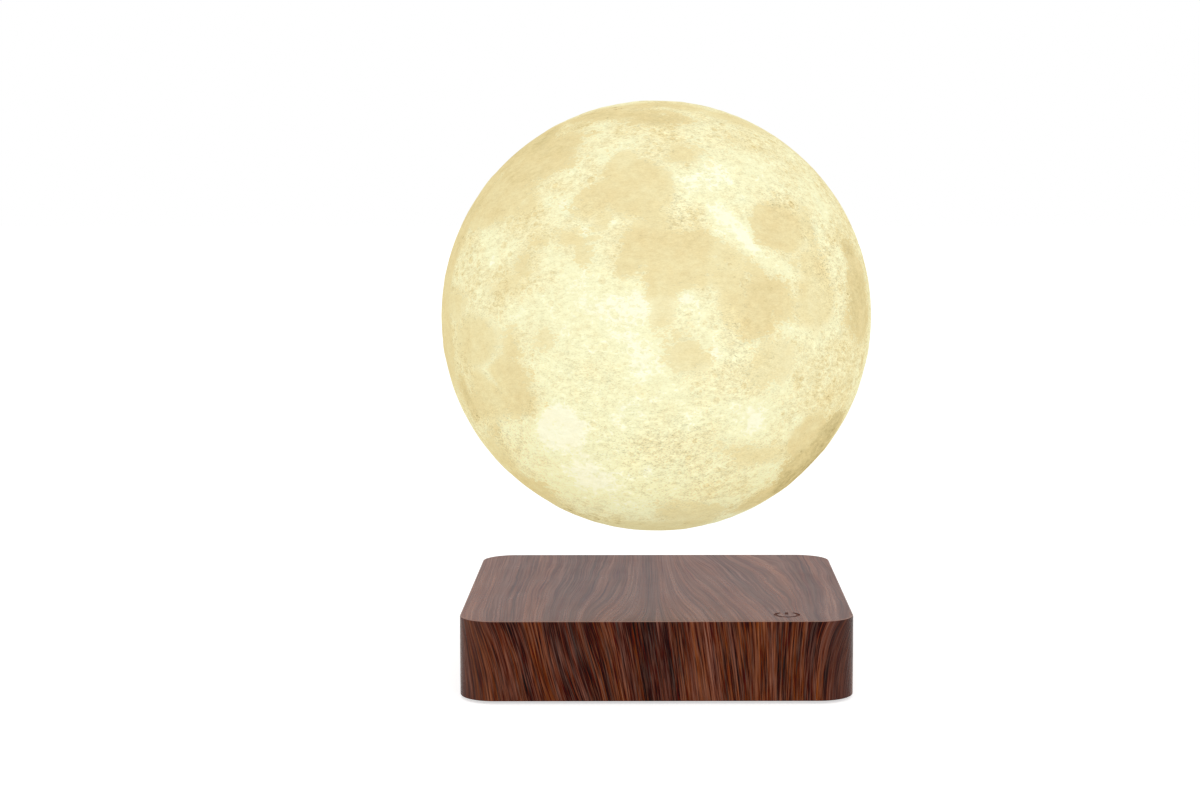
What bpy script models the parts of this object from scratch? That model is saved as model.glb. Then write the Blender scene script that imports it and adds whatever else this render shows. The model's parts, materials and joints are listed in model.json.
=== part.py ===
"""Levitating lamp: a moon globe that floats and turns over a square walnut base.

Metres, +Z up. The origin is the middle of the lamp on the surface that its feet stand on.
The front, with the touch mark, faces -Y, and the power socket is in the back wall, at +Y.
The casing is as wide and as high as the ring magnet, the coils and the jack inside it need.
"""

import math

import bmesh
import bpy
from mathutils import Matrix, Vector

# Fits and overruns shared by the whole lamp
FIT_GAP = 0.0003
CUT_OVERRUN = 0.002
BLEND_OVERLAP = 0.0008
MERGE_DISTANCE = 0.000001

# Casing of the base
BASE_WALL = 0.0028
TOP_THICKNESS = 0.0024
BASE_CORNER_RADIUS = 0.015
TOP_EDGE_BEVEL = 0.0005
BOSS_RADIUS = 0.004
BOSS_INSET = 0.0082

# Bottom cover and its feet
COVER_THICKNESS = 0.0024
COVER_EDGE_BEVEL = 0.0003
FOOT_RADIUS = 0.006
FOOT_PROUD = 0.001
FOOT_SEAT_DEPTH = 0.001
FOOT_INSET = 0.0179
FOOT_EDGE_BEVEL = 0.0003

# Screws that close the cover
COVER_SCREW_RADIUS = 0.0013
COVER_SCREW_LENGTH = 0.010
COVER_SCREW_HEAD_RADIUS = 0.0026
COVER_SCREW_HEAD_HEIGHT = 0.0012
COVER_SCREW_SINK = 0.0002

# Screws that hold the main board
BOARD_SCREW_RADIUS = 0.001
BOARD_SCREW_LENGTH = 0.0042
BOARD_SCREW_HEAD_RADIUS = 0.0019
BOARD_SCREW_HEAD_HEIGHT = 0.0012

# Screws that hold the receiver board in the globe
RECEIVER_SCREW_RADIUS = 0.0009
RECEIVER_SCREW_LENGTH = 0.0038
RECEIVER_SCREW_HEAD_RADIUS = 0.0017
RECEIVER_SCREW_HEAD_HEIGHT = 0.001

# Cross recess of every screw, as shares of its head
CROSS_LENGTH_SHARE = 0.62
CROSS_WIDTH_SHARE = 0.15
CROSS_DEPTH_SHARE = 0.6
SCREW_TIP_SHARE = 0.5

# Main board and what stands on it
BOARD_THICKNESS = 0.0016
BOARD_LIFT = 0.0026
BOARD_MARGIN = 0.0062
BOARD_BOSS_CLEARANCE = 0.0016
POST_RADIUS = 0.003
POST_MARGIN = 0.014
CHIP_WIDTH = 0.007
CHIP_HEIGHT = 0.001
CHIP_SIDE_MARGIN = 0.026
CHIP_EDGE_MARGIN = 0.0065
DRIVER_WIDTH = 0.006
DRIVER_LENGTH = 0.005
DRIVER_HEIGHT = 0.0015
DRIVER_SIDE_MARGIN = 0.030
DRIVER_EDGE_MARGIN = 0.005
CAPACITOR_RADIUS = 0.004
CAPACITOR_HEIGHT = 0.010
INDUCTOR_WIDTH = 0.0085
INDUCTOR_HEIGHT = 0.005
STANDING_SIDE_MARGIN = 0.026
STANDING_EDGE_MARGIN = 0.0065
STANDING_EDGE_BEVEL = 0.0005

# Power jack
JACK_WIDTH = 0.009
JACK_LENGTH = 0.014
JACK_HEIGHT = 0.011
JACK_CLEARANCE = 0.0014
JACK_BORE_RADIUS = 0.0032
JACK_BORE_DEPTH = 0.010
JACK_PIN_RADIUS = 0.001
JACK_PIN_LENGTH = 0.009
SOCKET_HOLE_RADIUS = 0.0052

# Touch mark in the top, and the spring under it
TOUCH_FROM_SIDE = 0.022
TOUCH_FROM_FRONT = 0.013
TOUCH_MARK_RADIUS = 0.0038
TOUCH_MARK_LINE = 0.0008
TOUCH_MARK_DEPTH = 0.0003
TOUCH_MARK_OPEN_DEGREES = 62
TOUCH_BAR_SHARE = 0.95
TOUCH_SPRING_RADIUS = 0.0018
TOUCH_SPRING_WIRE = 0.0003
TOUCH_SPRING_TURNS = 7
TOUCH_SPRING_POINTS_PER_TURN = 8

# Ring magnet and the carrier under it
RING_WIDTH = 0.014
RING_HEIGHT = 0.010
CARRIER_PLATE = 0.0016
CARRIER_RIM = 0.0022
CARRIER_RIM_HEIGHT = 0.005
CARRIER_POST_RADIUS = 0.003

# Electromagnets that steer the globe
BOBBIN_RADIUS = 0.0105
BOBBIN_HEIGHT = 0.012
BOBBIN_FLANGE = 0.001
BOBBIN_HUB_WALL = 0.0012
BOBBIN_GAP = 0.00304
BOBBIN_RING_CLEARANCE = 0.0025
CORE_RADIUS = 0.003
WINDING_INSET = 0.0008

# Position sensors in the middle of the electromagnets
HALL_BOARD_CLEARANCE = 0.0005
HALL_BOARD_THICKNESS = 0.001
HALL_SENSOR_WIDTH = 0.003
HALL_SENSOR_DEPTH = 0.0015
HALL_SENSOR_HEIGHT = 0.0018
HALL_SENSOR_ORBIT = 0.0035
HALL_BOARD_DROP = 0.0011

# Wireless power coils
FERRITE_THICKNESS = 0.0006
FERRITE_LAP = 0.002
TRANSMIT_COIL_THICKNESS = 0.0015
TRANSMIT_COIL_WIDTH = 0.012
RECEIVE_COIL_WIDTH = 0.0055
RECEIVE_COIL_THICKNESS = 0.0016
RECEIVE_COIL_CLEARANCE = 0.0005
RECEIVE_COIL_HOLDER_GAP = 0.001

# Globe, with the gap that it floats over
FLOAT_HEIGHT = 0.0202
GLOBE_RADIUS = 0.075
GLOBE_WALL = 0.002
LEDGE_WIDTH = 0.003
LEDGE_THICKNESS = 0.002
CAP_EDGE_HEIGHT = 0.0017
CAP_WALL = 0.0014
CAP_RIM_WIDTH = 0.0037

# Relief of the moon, cut into the globe
SEA_DEPTH = 0.0006
CRATER_DEPTH = 0.0008
HIGHLAND_ROUGHNESS = 0.0002
NORTH_TURN_DEGREES = -26.0
NORTH_TILT_DEGREES = -10.7
RELIEF_FADE_DEGREES = 5.0

# Floating magnet and its holder in the globe
MAGNET_RADIUS = 0.020
MAGNET_HEIGHT = 0.008
MAGNET_EDGE_BEVEL = 0.0005
HOLDER_WALL = 0.0017
HOLDER_PLATE = 0.0016
HOLDER_FLANGE = 0.005
HOLDER_BOSS_RADIUS = 0.0023
HOLDER_BOSS_DROP = 0.0024

# Receiver board and light engine
RECEIVER_BOARD_THICKNESS = 0.0012
LED_POST_RADIUS = 0.006
LED_POST_WALL = 0.0012
LED_POST_HEIGHT = 0.024
LED_POST_FOOT_RADIUS = 0.0095
LED_POST_FOOT_HEIGHT = 0.0015
LED_BOARD_RADIUS = 0.012
LED_BOARD_THICKNESS = 0.0016
LED_WIDTH = 0.0035
LED_HEIGHT = 0.001
LED_ORBIT = 0.0062
DIFFUSER_RADIUS = 0.0115
DIFFUSER_WALL = 0.0012

# How finely round pieces are faceted
CORNER_STEPS = 7
SMALL_ROUND_STEPS = 10
ROUND_STEPS = 18
WIDE_ROUND_STEPS = 36
MOON_STEPS = 60
MOON_RINGS = 29
MOON_INNER_RINGS = 6
CAP_RINGS = 4

# Heights of the base, stacked from the feet up
casing_bottom = FOOT_PROUD
cover_top = casing_bottom + COVER_THICKNESS
screw_seat = casing_bottom + COVER_SCREW_SINK + COVER_SCREW_HEAD_HEIGHT
post_top = cover_top + BOARD_LIFT
board_bottom = post_top + FIT_GAP
board_top = board_bottom + BOARD_THICKNESS
carrier_bottom = board_top + FIT_GAP
carrier_top = carrier_bottom + CARRIER_PLATE
magnets_bottom = carrier_top + FIT_GAP
bobbin_top = magnets_bottom + BOBBIN_HEIGHT
hall_board_bottom = bobbin_top - HALL_BOARD_DROP - HALL_BOARD_THICKNESS
ferrite_bottom = bobbin_top + FIT_GAP
transmit_coil_bottom = ferrite_bottom + FERRITE_THICKNESS + FIT_GAP
ceiling = transmit_coil_bottom + TRANSMIT_COIL_THICKNESS + FIT_GAP
casing_top = ceiling + TOP_THICKNESS

# Widths of the base, from the electromagnets out
coil_orbit = (2 * BOBBIN_RADIUS + BOBBIN_GAP) / math.sqrt(2)
hall_board_radius = coil_orbit - BOBBIN_RADIUS - HALL_BOARD_CLEARANCE
ring_inner_radius = coil_orbit + BOBBIN_RADIUS + BOBBIN_RING_CLEARANCE
ring_outer_radius = ring_inner_radius + RING_WIDTH
carrier_radius = ring_outer_radius + FIT_GAP + CARRIER_RIM
inner_half = carrier_radius + JACK_CLEARANCE + JACK_LENGTH + FIT_GAP
base_half = inner_half + BASE_WALL
inner_corner_radius = BASE_CORNER_RADIUS - BASE_WALL
cover_half = inner_half - FIT_GAP
cover_corner_radius = inner_corner_radius - FIT_GAP
boss_place = inner_half - BOSS_INSET
foot_place = cover_half - FOOT_INSET
board_half = inner_half - BOARD_MARGIN
post_place = board_half - POST_MARGIN
jack_face = inner_half - FIT_GAP
jack_axis_height = carrier_bottom + JACK_HEIGHT / 2
touch_x = base_half - TOUCH_FROM_SIDE
touch_y = TOUCH_FROM_FRONT - base_half

# Heights of the globe, from its lowest point up
globe_bottom = casing_top + FLOAT_HEIGHT
globe_middle = globe_bottom + GLOBE_RADIUS
holder_outer_radius = MAGNET_RADIUS + FIT_GAP + HOLDER_WALL
holder_radius = holder_outer_radius + HOLDER_FLANGE
holder_screw_orbit = holder_outer_radius + HOLDER_FLANGE / 2
cap_floor_radius = holder_outer_radius + FIT_GAP
receive_coil_inner_radius = holder_outer_radius + RECEIVE_COIL_HOLDER_GAP
receive_coil_outer_radius = receive_coil_inner_radius + RECEIVE_COIL_WIDTH
cap_rim_inner_radius = receive_coil_outer_radius + RECEIVE_COIL_CLEARANCE
cap_radius = cap_rim_inner_radius + CAP_RIM_WIDTH
opening_radius = cap_radius + FIT_GAP


def height_on_sphere(radius, distance):
    """Height of the lower half of a ball of this radius, at this distance from its axis."""
    return globe_middle - math.sqrt(radius * radius - distance * distance)


cap_inner_sphere = GLOBE_RADIUS - CAP_WALL
seam_height = height_on_sphere(GLOBE_RADIUS, opening_radius)
ledge_bottom = seam_height + CAP_EDGE_HEIGHT + FIT_GAP
ledge_top = ledge_bottom + LEDGE_THICKNESS
cap_floor = height_on_sphere(GLOBE_RADIUS, cap_floor_radius) + CAP_WALL
cap_top = ledge_bottom - FIT_GAP
magnet_bottom = cap_floor + FIT_GAP
holder_plate_bottom = magnet_bottom + MAGNET_HEIGHT + FIT_GAP
holder_top = holder_plate_bottom + HOLDER_PLATE
receive_coil_bottom = height_on_sphere(cap_inner_sphere, receive_coil_outer_radius) + FIT_GAP
receiver_board_bottom = holder_top + FIT_GAP
receiver_board_top = receiver_board_bottom + RECEIVER_BOARD_THICKNESS
led_post_bottom = receiver_board_top + FIT_GAP
led_board_bottom = led_post_bottom + LED_POST_HEIGHT + FIT_GAP
led_board_top = led_board_bottom + LED_BOARD_THICKNESS
led_bottom = led_board_top + FIT_GAP

SIDES = {"left": -1, "right": 1}
ENDS = {"front": -1, "back": 1}
SMOOTH_LIMIT = math.radians(32)


def clear_scene():
    """Removes every object of the opened scene."""
    for old in list(bpy.data.objects):
        bpy.data.objects.remove(old, do_unlink=True)


def finish(name, colour, roughness, metallic=0.0, alpha=1.0, glow=0.0):
    """A material with the colour, roughness and metallic value of one sub-part."""
    made = bpy.data.materials.new(name)
    made.use_nodes = True
    shader = made.node_tree.nodes["Principled BSDF"]
    shader.inputs["Base Color"].default_value = (*colour, 1)
    shader.inputs["Roughness"].default_value = roughness
    shader.inputs["Metallic"].default_value = metallic
    shader.inputs["Alpha"].default_value = alpha
    shader.inputs["Emission Color"].default_value = (*colour, 1)
    shader.inputs["Emission Strength"].default_value = glow
    made.diffuse_color = (*colour, alpha)
    return made


def to_mesh(shape, name):
    """Turns a bmesh into a mesh with clean, outward normals."""
    bmesh.ops.remove_doubles(shape, verts=shape.verts, dist=MERGE_DISTANCE)
    bmesh.ops.recalc_face_normals(shape, faces=shape.faces)
    mesh = bpy.data.meshes.new(name)
    shape.to_mesh(mesh)
    shape.free()
    return mesh


def turned(name, profile, steps):
    """A solid turned about +Z from a closed profile of (radius, height) points."""
    shape = bmesh.new()
    points = [shape.verts.new((radius, 0, height)) for radius, height in profile]
    edges = []
    for first, second in zip(points, points[1:] + points[:1]):
        if first.co.x > 0 or second.co.x > 0:
            edges.append(shape.edges.new((first, second)))
    bmesh.ops.spin(
        shape,
        geom=points + edges,
        cent=(0, 0, 0),
        axis=(0, 0, 1),
        angle=math.tau,
        steps=steps,
        use_merge=True,
    )
    return to_mesh(shape, name)


def ring(name, inner, outer, low, high, steps):
    """A flat ring."""
    return turned(name, [(inner, low), (outer, low), (outer, high), (inner, high)], steps)


def disc(name, radius, low, high, steps, bevel=0.0):
    """A round plate or rod, its two outer edges broken by the bevel."""
    if bevel == 0:
        return turned(name, [(0, low), (radius, low), (radius, high), (0, high)], steps)
    profile = [
        (0, low),
        (radius - bevel, low),
        (radius, low + bevel),
        (radius, high - bevel),
        (radius - bevel, high),
        (0, high),
    ]
    return turned(name, profile, steps)


def slab(name, outline, low, high, top_bevel=0.0, bottom_bevel=0.0):
    """A plate of this outline, with the edges of its top and bottom faces broken."""
    shape = bmesh.new()
    face = shape.faces.new([shape.verts.new((x, y, low)) for x, y in outline])
    grown = bmesh.ops.extrude_face_region(shape, geom=[face])
    raised = [item for item in grown["geom"] if isinstance(item, bmesh.types.BMVert)]
    bmesh.ops.translate(shape, verts=raised, vec=(0, 0, high - low))
    bmesh.ops.recalc_face_normals(shape, faces=shape.faces)
    for width, level in ((top_bevel, high), (bottom_bevel, low)):
        if width > 0:
            rim = [edge for edge in shape.edges if all(v.co.z == edge.verts[0].co.z for v in edge.verts)]
            rim = [edge for edge in rim if abs(edge.verts[0].co.z - level) < MERGE_DISTANCE]
            bmesh.ops.bevel(
                shape, geom=rim, offset=width, segments=1, profile=0.5, affect="EDGES", material=-1
            )
    return to_mesh(shape, name)


def block(name, size, centre=(0, 0, 0), bevel=0.0):
    """A rectangular block of this size about this centre."""
    shape = bmesh.new()
    bmesh.ops.create_cube(shape, size=1)
    bmesh.ops.scale(shape, vec=size, verts=shape.verts)
    bmesh.ops.translate(shape, vec=centre, verts=shape.verts)
    if bevel > 0:
        bmesh.ops.bevel(
            shape, geom=shape.edges, offset=bevel, segments=1, profile=0.5, affect="EDGES", material=-1
        )
    return to_mesh(shape, name)


def moved(mesh, matrix):
    """The same mesh after this transform."""
    mesh.transform(matrix)
    return mesh


def combined(name, body, tools, operation):
    """Joins the tool meshes to the body, or cuts them from it, and returns the mesh."""
    helpers = []
    base = bpy.data.objects.new(name, body)
    bpy.context.collection.objects.link(base)
    for tool in tools:
        helper = bpy.data.objects.new(name + "_tool", tool)
        helper.hide_render = True
        helper.display_type = "WIRE"
        bpy.context.collection.objects.link(helper)
        step = base.modifiers.new("step", "BOOLEAN")
        step.operation = operation
        step.solver = "EXACT"
        step.object = helper
        helpers.append(helper)
    evaluated = base.evaluated_get(bpy.context.evaluated_depsgraph_get())
    result = bpy.data.meshes.new_from_object(evaluated)
    for used in [base] + helpers:
        bpy.data.objects.remove(used, do_unlink=True)
    return result


def add(name, mesh, material, at=(0, 0, 0), turn=0.0, carrier=None):
    """Places one sub-part in the world, by itself or on the carrier that moves it."""
    mesh.materials.clear()
    mesh.materials.append(material)
    mesh.shade_smooth()
    mesh.set_sharp_from_angle(angle=SMOOTH_LIMIT)
    part = bpy.data.objects.new(name, mesh)
    bpy.context.collection.objects.link(part)
    part.location = Vector(at)
    part.rotation_euler.z = turn
    if carrier is not None:
        part.parent = carrier
        part.location -= carrier.location
    return part


def add_axis(name, height, carrier=None):
    """An empty on the lamp's upright axis, which carries what moves with it."""
    axis = bpy.data.objects.new(name, None)
    bpy.context.collection.objects.link(axis)
    axis.location.z = height
    if carrier is not None:
        axis.parent = carrier
        axis.location.z -= carrier.location.z
    return axis


def rounded_square(half, radius):
    """Outline of a square of this half width, with arcs at its corners."""
    outline = []
    for quarter in range(4):
        start = quarter * math.pi / 2
        middle = Vector((half - radius, half - radius))
        middle.rotate(Matrix.Rotation(start, 2))
        for step in range(CORNER_STEPS + 1):
            angle = start + step / CORNER_STEPS * math.pi / 2
            outline.append((middle.x + radius * math.cos(angle), middle.y + radius * math.sin(angle)))
    return outline


def corners(place):
    """The four corner places of a square pattern, each with its name."""
    for end, y_sign in ENDS.items():
        for side, x_sign in SIDES.items():
            yield f"{end}_{side}", x_sign * place, y_sign * place


def pilot_hole(name, radius, low, high, x, y):
    """A cutter for one upright hole."""
    hole = disc(name, radius, low, high, SMALL_ROUND_STEPS)
    return moved(hole, Matrix.Translation((x, y, 0)))


def make_screw(name, radius, length, head_radius, head_height):
    """A pan-head screw that points down, with its seat face at height zero."""
    profile = [
        (0, -length),
        (radius * SCREW_TIP_SHARE, -length),
        (radius, -length + radius),
        (radius, 0),
        (head_radius, 0),
        (head_radius - head_height / 2, head_height),
        (0, head_height),
    ]
    body = turned(name, profile, SMALL_ROUND_STEPS)
    reach = 2 * head_radius * CROSS_LENGTH_SHARE
    width = 2 * head_radius * CROSS_WIDTH_SHARE
    depth = 2 * head_height * CROSS_DEPTH_SHARE
    bars = [
        block(name, (reach, width, depth), (0, 0, head_height)),
        block(name, (width, reach, depth), (0, 0, head_height)),
    ]
    return combined(name, body, bars, "DIFFERENCE")


def touch_mark_cutters():
    """The open ring and the bar of the touch mark, as cutters through the top face."""
    inner = TOUCH_MARK_RADIUS - TOUCH_MARK_LINE / 2
    outer = TOUCH_MARK_RADIUS + TOUCH_MARK_LINE / 2
    open_half = math.radians(TOUCH_MARK_OPEN_DEGREES) / 2
    start = math.pi / 2 + open_half
    sweep = math.tau - 2 * open_half
    angles = [start + sweep * step / ROUND_STEPS for step in range(ROUND_STEPS + 1)]
    outline = [(outer * math.cos(a), outer * math.sin(a)) for a in angles]
    outline += [(inner * math.cos(a), inner * math.sin(a)) for a in reversed(angles)]
    low = casing_top - TOUCH_MARK_DEPTH
    arc = slab("touch_mark_ring", outline, low, casing_top + CUT_OVERRUN)
    bar_length = TOUCH_MARK_RADIUS * TOUCH_BAR_SHARE
    bar_height = TOUCH_MARK_DEPTH + CUT_OVERRUN
    bar = block(
        "touch_mark_bar",
        (TOUCH_MARK_LINE, bar_length, bar_height),
        (0, TOUCH_MARK_RADIUS - bar_length / 2, low + bar_height / 2),
    )
    there = Matrix.Translation((touch_x, touch_y, 0))
    return [moved(arc, there), moved(bar, there)]


def make_base_shell():
    """The walnut casing: four walls and a top, open below, with four screw bosses."""
    outer = slab(
        "base_shell",
        rounded_square(base_half, BASE_CORNER_RADIUS),
        casing_bottom,
        casing_top,
        top_bevel=TOP_EDGE_BEVEL,
    )
    hollow = slab(
        "hollow",
        rounded_square(inner_half, inner_corner_radius),
        casing_bottom - CUT_OVERRUN,
        ceiling,
    )
    shell = combined("base_shell", outer, [hollow], "DIFFERENCE")
    bosses = []
    for _, x, y in corners(boss_place):
        boss = disc("boss", BOSS_RADIUS, cover_top + FIT_GAP, ceiling + BLEND_OVERLAP, ROUND_STEPS)
        bosses.append(moved(boss, Matrix.Translation((x, y, 0))))
    shell = combined("base_shell", shell, bosses, "UNION")
    hole_top = screw_seat + COVER_SCREW_LENGTH + FIT_GAP
    cutters = [
        pilot_hole("pilot", COVER_SCREW_RADIUS + FIT_GAP, cover_top - CUT_OVERRUN, hole_top, x, y)
        for _, x, y in corners(boss_place)
    ]
    socket = disc("socket", SOCKET_HOLE_RADIUS, -CUT_OVERRUN - BASE_WALL, CUT_OVERRUN, ROUND_STEPS)
    there = Matrix.Translation((0, base_half, jack_axis_height))
    cutters.append(moved(socket, there @ Matrix.Rotation(-math.pi / 2, 4, "X")))
    cutters += touch_mark_cutters()
    return combined("base_shell", shell, cutters, "DIFFERENCE")


def make_bottom_cover():
    """The cover that closes the casing from below, with posts for the main board."""
    plate = slab(
        "bottom_cover",
        rounded_square(cover_half, cover_corner_radius),
        casing_bottom,
        cover_top,
        bottom_bevel=COVER_EDGE_BEVEL,
    )
    posts = []
    for _, x, y in corners(post_place):
        post = disc("post", POST_RADIUS, cover_top - BLEND_OVERLAP, post_top, ROUND_STEPS)
        posts.append(moved(post, Matrix.Translation((x, y, 0))))
    plate = combined("bottom_cover", plate, posts, "UNION")
    below = casing_bottom - CUT_OVERRUN
    foot_roof = casing_bottom + FOOT_SEAT_DEPTH + FIT_GAP
    screw_end = carrier_bottom - BOARD_SCREW_LENGTH - FIT_GAP
    cutters = []
    for _, x, y in corners(foot_place):
        cutters.append(pilot_hole("foot_seat", FOOT_RADIUS + FIT_GAP, below, foot_roof, x, y))
    for _, x, y in corners(boss_place):
        cutters.append(
            pilot_hole("head_seat", COVER_SCREW_HEAD_RADIUS + FIT_GAP, below, screw_seat + FIT_GAP, x, y)
        )
        cutters.append(
            pilot_hole("clear_hole", COVER_SCREW_RADIUS + FIT_GAP, below, cover_top + CUT_OVERRUN, x, y)
        )
    for _, x, y in corners(post_place):
        cutters.append(
            pilot_hole("pilot", BOARD_SCREW_RADIUS + FIT_GAP, screw_end, post_top + CUT_OVERRUN, x, y)
        )
    return combined("bottom_cover", plate, cutters, "DIFFERENCE")


def make_main_board():
    """The main board, cut off at its corners to pass the casing's bosses."""
    boss_line = 2 * boss_place - math.sqrt(2) * (BOSS_RADIUS + BOARD_BOSS_CLEARANCE)
    near = boss_line - board_half
    outline = [
        (board_half, -near),
        (board_half, near),
        (near, board_half),
        (-near, board_half),
        (-board_half, near),
        (-board_half, -near),
        (-near, -board_half),
        (near, -board_half),
    ]
    board = slab("main_board", outline, board_bottom, board_top)
    holes = [
        pilot_hole(
            "clear_hole",
            BOARD_SCREW_RADIUS + FIT_GAP,
            board_bottom - CUT_OVERRUN,
            board_top + CUT_OVERRUN,
            x,
            y,
        )
        for _, x, y in corners(post_place)
    ]
    return combined("main_board", board, holes, "DIFFERENCE")


def make_coil_carrier():
    """The tray that holds the ring magnet and the coils, with a post for the sensors."""
    post_end = hall_board_bottom - FIT_GAP
    rim_top = carrier_top + CARRIER_RIM_HEIGHT
    profile = [
        (0, carrier_bottom),
        (carrier_radius, carrier_bottom),
        (carrier_radius, rim_top),
        (carrier_radius - CARRIER_RIM, rim_top),
        (carrier_radius - CARRIER_RIM, carrier_top),
        (CARRIER_POST_RADIUS, carrier_top),
        (CARRIER_POST_RADIUS, post_end),
        (0, post_end),
    ]
    return turned("coil_carrier", profile, WIDE_ROUND_STEPS)


def make_bobbin():
    """One coil former: a hub between two flanges, with its foot at height zero."""
    bore = CORE_RADIUS + FIT_GAP
    hub = bore + BOBBIN_HUB_WALL
    profile = [
        (bore, 0),
        (BOBBIN_RADIUS, 0),
        (BOBBIN_RADIUS, BOBBIN_FLANGE),
        (hub, BOBBIN_FLANGE),
        (hub, BOBBIN_HEIGHT - BOBBIN_FLANGE),
        (BOBBIN_RADIUS, BOBBIN_HEIGHT - BOBBIN_FLANGE),
        (BOBBIN_RADIUS, BOBBIN_HEIGHT),
        (bore, BOBBIN_HEIGHT),
    ]
    return turned("bobbin", profile, ROUND_STEPS)


def make_winding():
    """The copper winding of one bobbin, with the bobbin's foot at height zero."""
    inner = CORE_RADIUS + FIT_GAP + BOBBIN_HUB_WALL + FIT_GAP
    low = BOBBIN_FLANGE + FIT_GAP
    return ring("winding", inner, BOBBIN_RADIUS - WINDING_INSET, low, BOBBIN_HEIGHT - low, ROUND_STEPS)


def make_power_jack():
    """The jack body, with a round bore for the plug in its back end."""
    body = block(
        "power_jack",
        (JACK_WIDTH, JACK_LENGTH, JACK_HEIGHT),
        (0, jack_face - JACK_LENGTH / 2, jack_axis_height),
    )
    bore = disc("bore", JACK_BORE_RADIUS, -JACK_BORE_DEPTH, CUT_OVERRUN, ROUND_STEPS)
    there = Matrix.Translation((0, jack_face, jack_axis_height))
    bore = moved(bore, there @ Matrix.Rotation(-math.pi / 2, 4, "X"))
    return combined("power_jack", body, [bore], "DIFFERENCE")


def make_jack_pin():
    """The centre pin of the jack, standing in the end of the bore."""
    bore_end = jack_face - JACK_BORE_DEPTH
    pin = disc("jack_pin", JACK_PIN_RADIUS, 0, JACK_PIN_LENGTH, SMALL_ROUND_STEPS)
    there = Matrix.Translation((0, bore_end + FIT_GAP, jack_axis_height))
    return moved(pin, there @ Matrix.Rotation(-math.pi / 2, 4, "X"))


def add_touch_spring(material):
    """The sensing spring between the board and the underside of the touch mark."""
    low = board_top + FIT_GAP + TOUCH_SPRING_WIRE
    high = ceiling - FIT_GAP - TOUCH_SPRING_WIRE
    count = TOUCH_SPRING_TURNS * TOUCH_SPRING_POINTS_PER_TURN
    orbit = TOUCH_SPRING_RADIUS - TOUCH_SPRING_WIRE
    curve = bpy.data.curves.new("touch_spring", "CURVE")
    curve.dimensions = "3D"
    curve.bevel_depth = TOUCH_SPRING_WIRE
    curve.bevel_resolution = 0
    curve.use_fill_caps = True
    line = curve.splines.new("POLY")
    line.points.add(count)
    for step, point in enumerate(line.points):
        angle = math.tau * step / TOUCH_SPRING_POINTS_PER_TURN
        height = low + (high - low) * step / count
        point.co = (orbit * math.cos(angle), orbit * math.sin(angle), height, 1)
    spring = bpy.data.objects.new("touch_spring", curve)
    bpy.context.collection.objects.link(spring)
    spring.location = (touch_x, touch_y, 0)
    curve.materials.append(material)
    rise = (high - low) / TOUCH_SPRING_TURNS
    print(f"touch_spring least gap to itself: {(rise - 2 * TOUCH_SPRING_WIRE) * 1000:.2f} mm")
    return spring


# The moon's own features: north latitude, east longitude, half width and half height in degrees
SEAS = {
    "crisium": (17.0, 59.1, 8.5, 7.0),
    "serenitatis": (28.0, 17.5, 11.5, 10.5),
    "tranquillitatis": (8.5, 31.0, 13.5, 10.5),
    "fecunditatis": (-6.0, 51.5, 10.0, 13.0),
    "nectaris": (-15.2, 35.5, 6.5, 6.5),
    "imbrium": (33.0, -16.0, 20.0, 18.0),
    "procellarum_north": (26.0, -52.0, 14.0, 18.0),
    "procellarum_south": (2.0, -50.0, 16.0, 16.0),
    "humorum": (-24.4, -38.6, 7.5, 7.0),
    "nubium": (-20.0, -16.0, 12.0, 9.0),
    "cognitum": (-9.0, -24.0, 11.0, 6.0),
    "vaporum": (13.0, 4.0, 5.0, 4.5),
    "frigoris": (57.0, 8.0, 30.0, 4.0),
    "smythii": (-1.5, 87.0, 7.0, 7.0),
    "marginis": (13.5, 86.0, 7.0, 6.0),
    "moscoviense": (27.0, 148.0, 5.5, 4.5),
    "orientale": (-19.5, -95.0, 6.5, 6.5),
    "ingenii": (-34.0, 163.0, 5.5, 4.5),
    "south_pole_basin": (-53.0, -169.0, 26.0, 20.0),
}
# Large craters: north latitude, east longitude and radius in degrees
CRATERS = {
    "southern_ray": (-43.3, -11.4, 2.2),
    "western_ray": (9.7, -20.1, 2.2),
    "deep_south": (-58.4, -14.4, 4.2),
    "south_east_wall": (-44.5, 40.0, 3.4),
    "eastern_ring": (-8.9, 61.1, 2.6),
    "nectaris_rim": (-11.4, 26.4, 2.2),
    "central_ring": (-9.3, -1.9, 3.0),
    "north_wall": (51.6, -9.3, 2.4),
    "far_north": (50.0, 175.0, 4.5),
    "far_middle": (5.0, -129.0, 8.0),
    "far_west": (-5.0, -157.0, 7.0),
    "far_east": (3.0, 125.0, 5.0),
    "far_south": (-36.0, -151.0, 7.5),
    "east_limb": (-18.0, 95.0, 5.0),
}


def moon_direction(latitude, longitude):
    """Unit vector of a place on the moon as the globe stands, longitude zero to the front."""
    north = math.radians(latitude)
    east = math.radians(longitude)
    flat = Vector((math.sin(east) * math.cos(north), -math.cos(east) * math.cos(north), math.sin(north)))
    flat.rotate(Matrix.Rotation(math.radians(NORTH_TURN_DEGREES), 3, "Z"))
    flat.rotate(Matrix.Rotation(math.radians(NORTH_TILT_DEGREES), 3, "X"))
    return flat


def soft_step(low, high, value):
    """Rises smoothly from 0 at low to 1 at high."""
    share = min(max((value - low) / (high - low), 0), 1)
    return share * share * (3 - 2 * share)


def sea_fields():
    """Middle, east and north directions and half sizes of each sea."""
    for latitude, longitude, half_width, half_height in SEAS.values():
        middle = moon_direction(latitude, longitude)
        pole = moon_direction(90, 0)
        east = pole.cross(middle).normalized()
        yield middle, east, middle.cross(east), math.radians(half_width), math.radians(half_height)


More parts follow.
